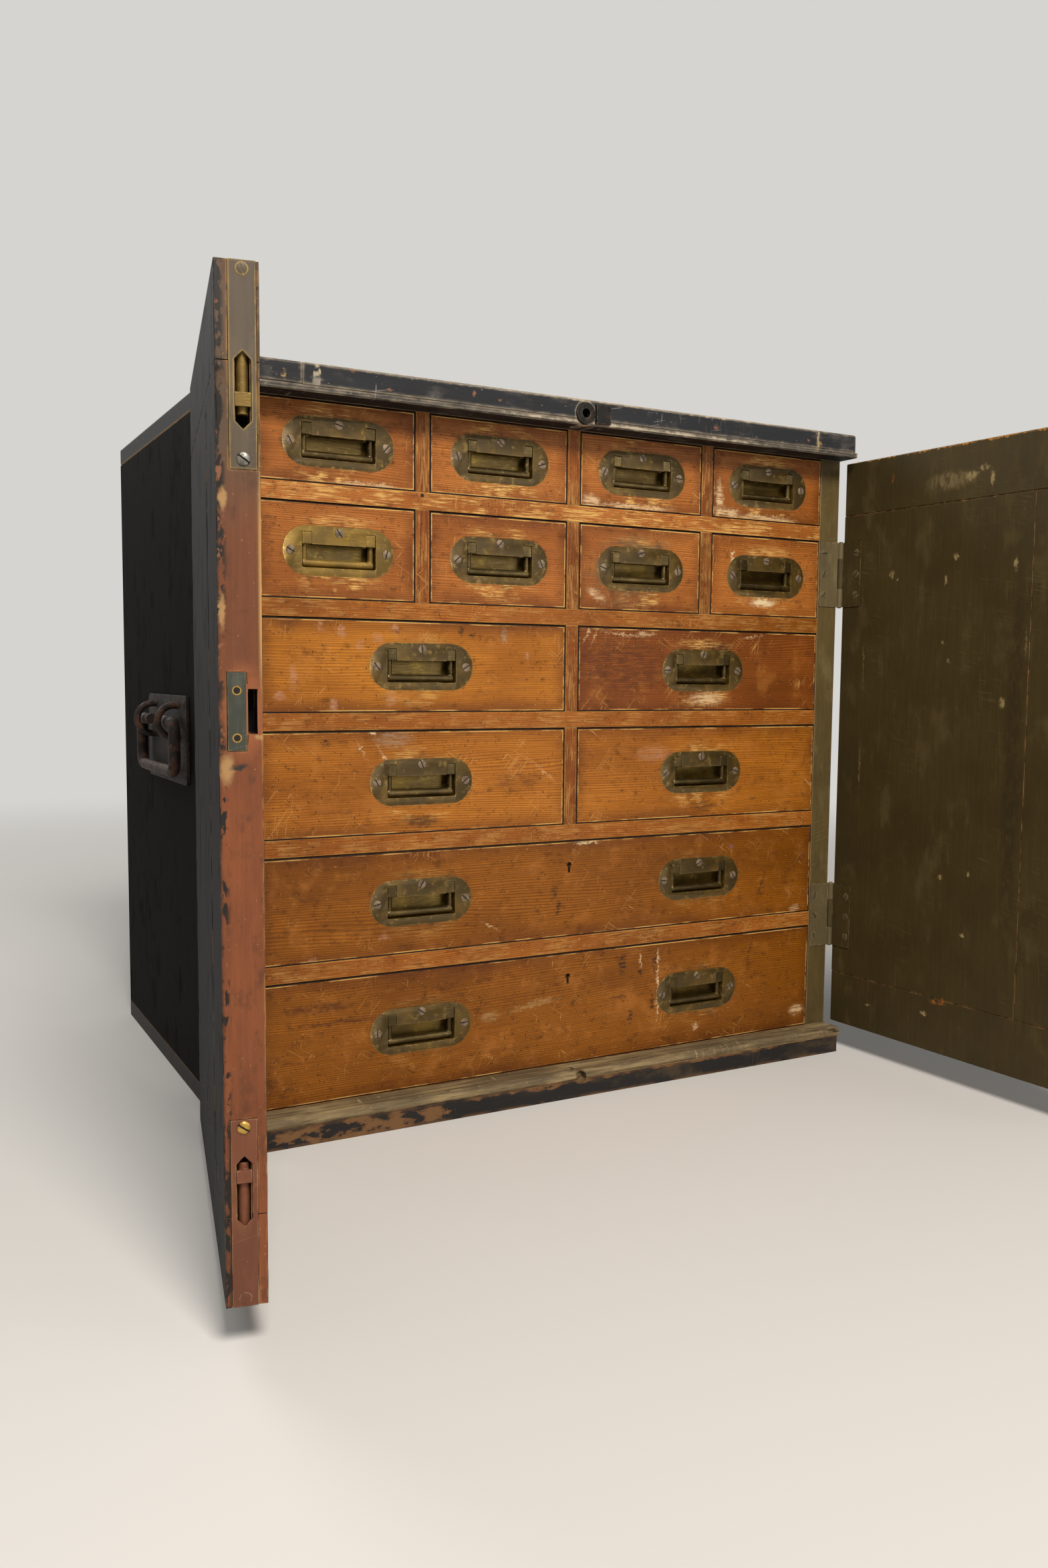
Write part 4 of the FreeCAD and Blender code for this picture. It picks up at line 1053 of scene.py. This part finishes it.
plate_pattern = let_in_plate()
bail_pattern = cast_bail()
for label, bails in pulls.items():
    face = gold_brass if label == "2a" else plate_brass
    plates = []
    y_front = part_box("drawer_" + label)[0].y
    for node, x, z in bails:
        place = Matrix.Translation((x * MM, y_front, z * MM))
        plate = copied(plate_pattern, "plate", place)
        plate.data.materials.clear()
        dress(plate, lambda middle, normal: face if middle.y < y_front + 0.5 * plate_t * MM else pan_brass)
        plates.append(plate)
        casting = copied(bail_pattern, node + "_casting", place)
        finish_all(casting, face if label == "2a" else bail_brass)
        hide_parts(node)
        mount(casting, body_of[node])
    node = "pull_plate_" + label
    if len(bails) > 1:
        plates.append(softened(node, "lock", metal_arris, lambda *place: bolt_brass, keep=is_lock))
    whole = joined(node + "_brass", plates)
    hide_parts(node)
    mount(whole, body_of[node])
discard(plate_pattern)
discard(bail_pattern)


# Screws: slotted heads, copied

def slotted_head(name, radius, proud, sunk, finish, domed=False):
    """A slotted screw head that looks towards -y, with its seat at y 0."""
    if domed:
        head = primitive("uv_sphere", {"radius": radius}, segments=28, ring_count=16,
                         scale=(1, proud / radius, 1))
    else:
        head = primitive("cylinder", {"radius": radius, "depth": proud + sunk,
                                      "location": (0, (sunk - proud) / 2, 0)},
                         vertices=28, rotation=(pi / 2, 0, 0))
        bevel(head, 0.25 * proud + 0.1)
    deep = 0.45 * proud
    half = slot_w / 2
    outline = [(-2 * radius, -half), (2 * radius, -half), (2 * radius, half), (-2 * radius, half)]
    carve(head, block("slot", outline, -2 * proud, -proud + deep))
    # The slot's floor and walls take the painted shade.
    finish_all(head, finish, slot_and_hole_shade)
    for face in head.data.polygons:
        inside = abs(face.center.z) < 0.51 * slot_w * MM
        face.material_index = 1 if inside and face.center.y > -(proud - 0.9 * deep) * MM - 1e-5 else 0
    head.name = name
    smooth(head, 30.0)
    return head


def seat(piece, name, place, outward, turn):
    """A copy of a head at a place, looking outward, its slot turned by so many degrees."""
    facing = Vector((0, -1, 0)).rotation_difference(outward).to_matrix().to_4x4()
    spin = Matrix.Rotation(radians(turn), 4, "Y")
    return copied(piece, name, Matrix.Translation(place) @ facing @ spin)


head = slotted_head("screw_pattern", screw_r, screw_proud, screw_sunk, screw_metal)
toward_front = Vector((0, -1, 0))
turns = [62, -48, 15, 75, -20, 38, -66, 5, 50, -35, 82, -8, 28, -74, 57, -42]
count = 0
for label, bails in pulls.items():
    screws = []
    y_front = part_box("drawer_" + label)[0].y
    for node, x, z in bails:
        for dx, dz in ((-screw_out, 0), (screw_out, 0), (0, screw_up)):
            place = Vector(((x + dx) * MM, y_front, (z + dz) * MM))
            turn = turns[count % len(turns)] + 3 * (count // len(turns))
            screws.append(seat(head, "screw", place, toward_front, turn))
            count += 1
    mount(joined("drawer_" + label + "_pull_screws", screws), "drawer_" + label)


leaf_head = slotted_head("leaf_screw_pattern", screw_r, leaf_screw_proud, screw_sunk, leaf_paint)
stile_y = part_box("carcase_walls")[0].y - leaf_proud * MM
case_screws = []
for door, hand in (("left_door", -1), ("right_door", 1)):
    opened = closing(door).inverted()
    outward = opened.to_3x3() @ Vector((0, 1, 0))
    door_screws = []
    for level in hinge_levels:
        for k in (-1, 0, 1):
            place = Vector((hand * leaf_screw_x * MM, stile_y, (level + k * leaf_screw_pitch) * MM))
            turn = turns[(count + int(level) + 5 * k) % len(turns)]
            case_screws.append(seat(leaf_head, "screw", place, toward_front, turn))
            place.y -= leaf_apart * MM
            door_screws.append(seat(leaf_head, "screw", opened @ place, outward, turn + 20))
    mount(joined(door + "_hinge_screws", door_screws), door)
mount(joined("stile_hinge_screws", case_screws), case)
discard(leaf_head)


# Heads and holes in the left door's edge

opened = closing("left_door").inverted()
edge_out = opened.to_3x3() @ Vector((1, 0, 0))
pieces = []
for finish, inward, level in ((grey_steel, top_plate_in, ball_level_steel),
                              (bright_brass, foot_plate_in, ball_level_brass)):
    ball = slotted_head("ball_screw", ball_r, ball_proud, 0, finish, domed=True)
    place = opened @ (Vector((edge_x, inner_y - inward, level)) * MM)
    pieces.append(seat(ball, "ball_screw", place, edge_out, 35))
    discard(ball)
for inward, level, finish in ((top_plate_in, plate_end_levels[0], top_plate),
                              (foot_plate_in, plate_end_levels[1], foot_plate)):
    finish_all(head, finish, slot_and_hole_shade)
    place = opened @ (Vector((edge_x - 0.2, inner_y - inward, level)) * MM)
    pieces.append(seat(head, "end_screw", place, edge_out, 70))
for level in keep_hole_levels:
    # Each hole is a brass ring round a near-black patch, painted shade for the hole itself.
    for radius, proud, finish in ((keep_hole_r + 0.8, 0.10, bright_brass), (keep_hole_r, 0.16, slot_and_hole_shade)):
        patch = hole(radius, proud, finish)
        place = opened @ (Vector((edge_x, inner_y - keep_in, level)) * MM)
        pieces.append(seat(patch, "keep_hole", place, edge_out, 0))
        discard(patch)
mount(joined("left_door_edge_screws", pieces), "left_door")

# The peg hole is a flat patch of painted shade.
patch = hole(peg_hole_r, 0.06, slot_and_hole_shade)
place = Vector((peg_hole[0] * MM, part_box("drawer_dividers")[0].y, peg_hole[1] * MM))
mount(seat(patch, "peg_hole_in_rail", place, toward_front, 0), case)
discard(patch)


# Ironwork on the case

def is_not_staple(low, high):
    return not (0.030 < high.z - low.z < 0.045 and high.y - low.y < 0.01)


def iron_faces(middle, normal, low, high):
    if 0.069 < high.z - low.z < 0.075:
        return leaf_paint
    return black_iron if abs(middle.x) > 0.3 else dark_iron


def round_bar(name, radius, place, heading, moves):
    """A bar of round section from place: it runs by (x, y, z) or turns by (centre, axis, degrees, steps)."""
    facing = Vector((0, 0, 1)).rotation_difference(Vector(heading)).to_euler()
    bar = primitive("circle", {"radius": radius, "location": place}, vertices=18, fill_type="NGON",
                    rotation=facing)
    bpy.ops.object.mode_set(mode="EDIT")
    bpy.ops.mesh.select_all(action="SELECT")
    for move in moves:
        if len(move) == 3:
            bpy.ops.mesh.extrude_region_move(TRANSFORM_OT_translate={"value": Vector(move) * MM})
        else:
            centre, axis, turn, steps = move
            bpy.ops.mesh.spin(steps=steps, angle=-radians(turn), center=Vector(centre) * MM, axis=axis)
    bpy.ops.mesh.select_all(action="SELECT")
    bpy.ops.mesh.remove_doubles(threshold=0.01 * MM)
    bpy.ops.mesh.normals_make_consistent(inside=False)
    bpy.ops.object.mode_set(mode="OBJECT")
    finish_all(bar, rusty_iron)
    bar.name = name
    smooth(bar, 50.0)
    return bar


low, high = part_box("right_handle")
handle_y = (low.y + high.y) / 2 / MM
handle_leg = (high.y - low.y) / 2 / MM - handle_r


def staples(hand):
    """Two half loops of bar on each handle plate, and the plate's four screws."""
    out = []
    start_x = hand * (case_half + handle_plate_t)
    turn_x = hand * (case_half + staple_reach - staple_r - staple_half)
    run = turn_x - start_x
    for side in (-1, 1):
        y = handle_y + side * staple_y
        moves = [(run, 0, 0), ((turn_x, y, handle_z), (0, -hand, 0), 180, 14), (-run, 0, 0)]
        out.append(round_bar("staple", staple_r, (start_x, y, handle_z - staple_half), (hand, 0, 0), moves))
        for up in (-1, 1):
            place = Vector((start_x, handle_y + side * handle_plate_half[0],
                            handle_plate_z + up * handle_plate_half[1])) * MM
            out.append(seat(head, "plate_screw", place, Vector((hand, 0, 0)), 40 * side + 25 * up))
    return out


def handle(hand):
    """A bar bent to a handle, its ends turned inwards through the staples."""
    x = hand * (case_half + handle_off)
    foot = handle_z - handle_drop
    b = handle_bend
    inward = (0, -(handle_end_len - b), 0)
    drop = handle_drop - 2 * b

    def corner(side, z):
        return (x, handle_y + side * (handle_leg - b), z), (1, 0, 0), 90, 8

    moves = [inward, corner(-1, handle_z - b), (0, 0, -drop), corner(-1, foot + b),
             (0, 2 * (handle_leg - b), 0), corner(1, foot + b), (0, 0, drop), corner(1, handle_z - b), inward]
    start_y = handle_y - handle_leg + handle_end_len
    return round_bar("handle", handle_r, (x, start_y, handle_z), (0, -1, 0), moves)


finish_all(head, black_iron, slot_and_hole_shade)
iron = softened("case_ironwork", "ironwork", metal_arris, iron_faces, keep=is_not_staple)
iron = joined("case_ironwork_forged", staples(-1) + staples(1) + [iron])
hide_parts("case_ironwork")
mount(iron, case)
for node, hand in (("left_handle", -1), ("right_handle", 1)):
    grip = handle(hand)
    grip.name = node + "_forged"
    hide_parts(node)
    mount(grip, node)
discard(head)


# Studio

def studio_floor(tone, distant):
    """A matt floor that runs into the background's colour far from the object."""
    finish, point = start("matt_studio_floor")
    tree = finish.node_tree
    matt = add("BsdfPrincipled", {"Base Color": tone, "Roughness": 0.8}, tree=tree)[0]
    glow = add("Emission", {"Color": distant}, tree=tree)[0]
    reach = add("VectorMath", {0: point}, operation="LENGTH")["Value"]
    seen = add("LightPath", tree=tree)["Is Camera Ray"]
    far = both(step(reach, 0.9, 3.2), seen)
    add("OutputMaterial", {"Surface": add("MixShader", {0: far, 1: matt, 2: glow})[0]})
    return finish


def area_lamp(name, place, target, size, power, tone="#FFFFFF"):
    data = bpy.data.lights.new(name, "AREA")
    data.shape = "DISK"
    data.size = size
    data.energy = power
    data.color = linear(tone)[:3]
    lamp = placed(name, data)
    lamp.location = place
    lamp.rotation_euler = (Vector(target) - Vector(place)).to_track_quat("-Z", "Y").to_euler()


floor = primitive("circle", {"radius": 20000}, vertices=96, fill_type="NGON")
floor.name = "studio_floor"
finish_all(floor, studio_floor("#D2D0CC", "#D6D4D0"))

world = bpy.data.worlds.new("studio")
world.use_nodes = True
world.node_tree.nodes.clear()
rays = add("LightPath", tree=world.node_tree)
seen = either(rays["Is Camera Ray"], rays["Is Glossy Ray"], rays["Is Transmission Ray"])
sky = coats("#7E7D7B", (seen, 1.0, "#D6D4D0"))
add("OutputWorld", {"Surface": add("Background", {"Color": sky, "Strength": 1.0})[0]})
bpy.context.scene.world = world

centre = (0.0, -0.2, 0.36)
area_lamp("key", (-0.5, -2.1, 2.25), centre, 0.9, 82, "#FFF8F0")
area_lamp("fill", (1.3, -2.2, 0.7), centre, 1.6, 12)
area_lamp("back", (-0.9, 1.9, 2.1), centre, 1.4, 22)

lens = bpy.data.cameras.new("camera")
lens.lens = view_lens
lens.sensor_width = film_long_side
camera = placed("camera", lens)
camera.matrix_world = (Matrix.Translation(Vector(view_place) * MM)
                       @ Matrix.Rotation(radians(-view_turn), 4, "Z")
                       @ Matrix.Rotation(radians(90 + view_tilt), 4, "X")
                       @ Matrix.Rotation(radians(view_roll), 4, "Z"))
bpy.context.scene.camera = camera
bpy.context.scene.view_settings.view_transform = "Standard"
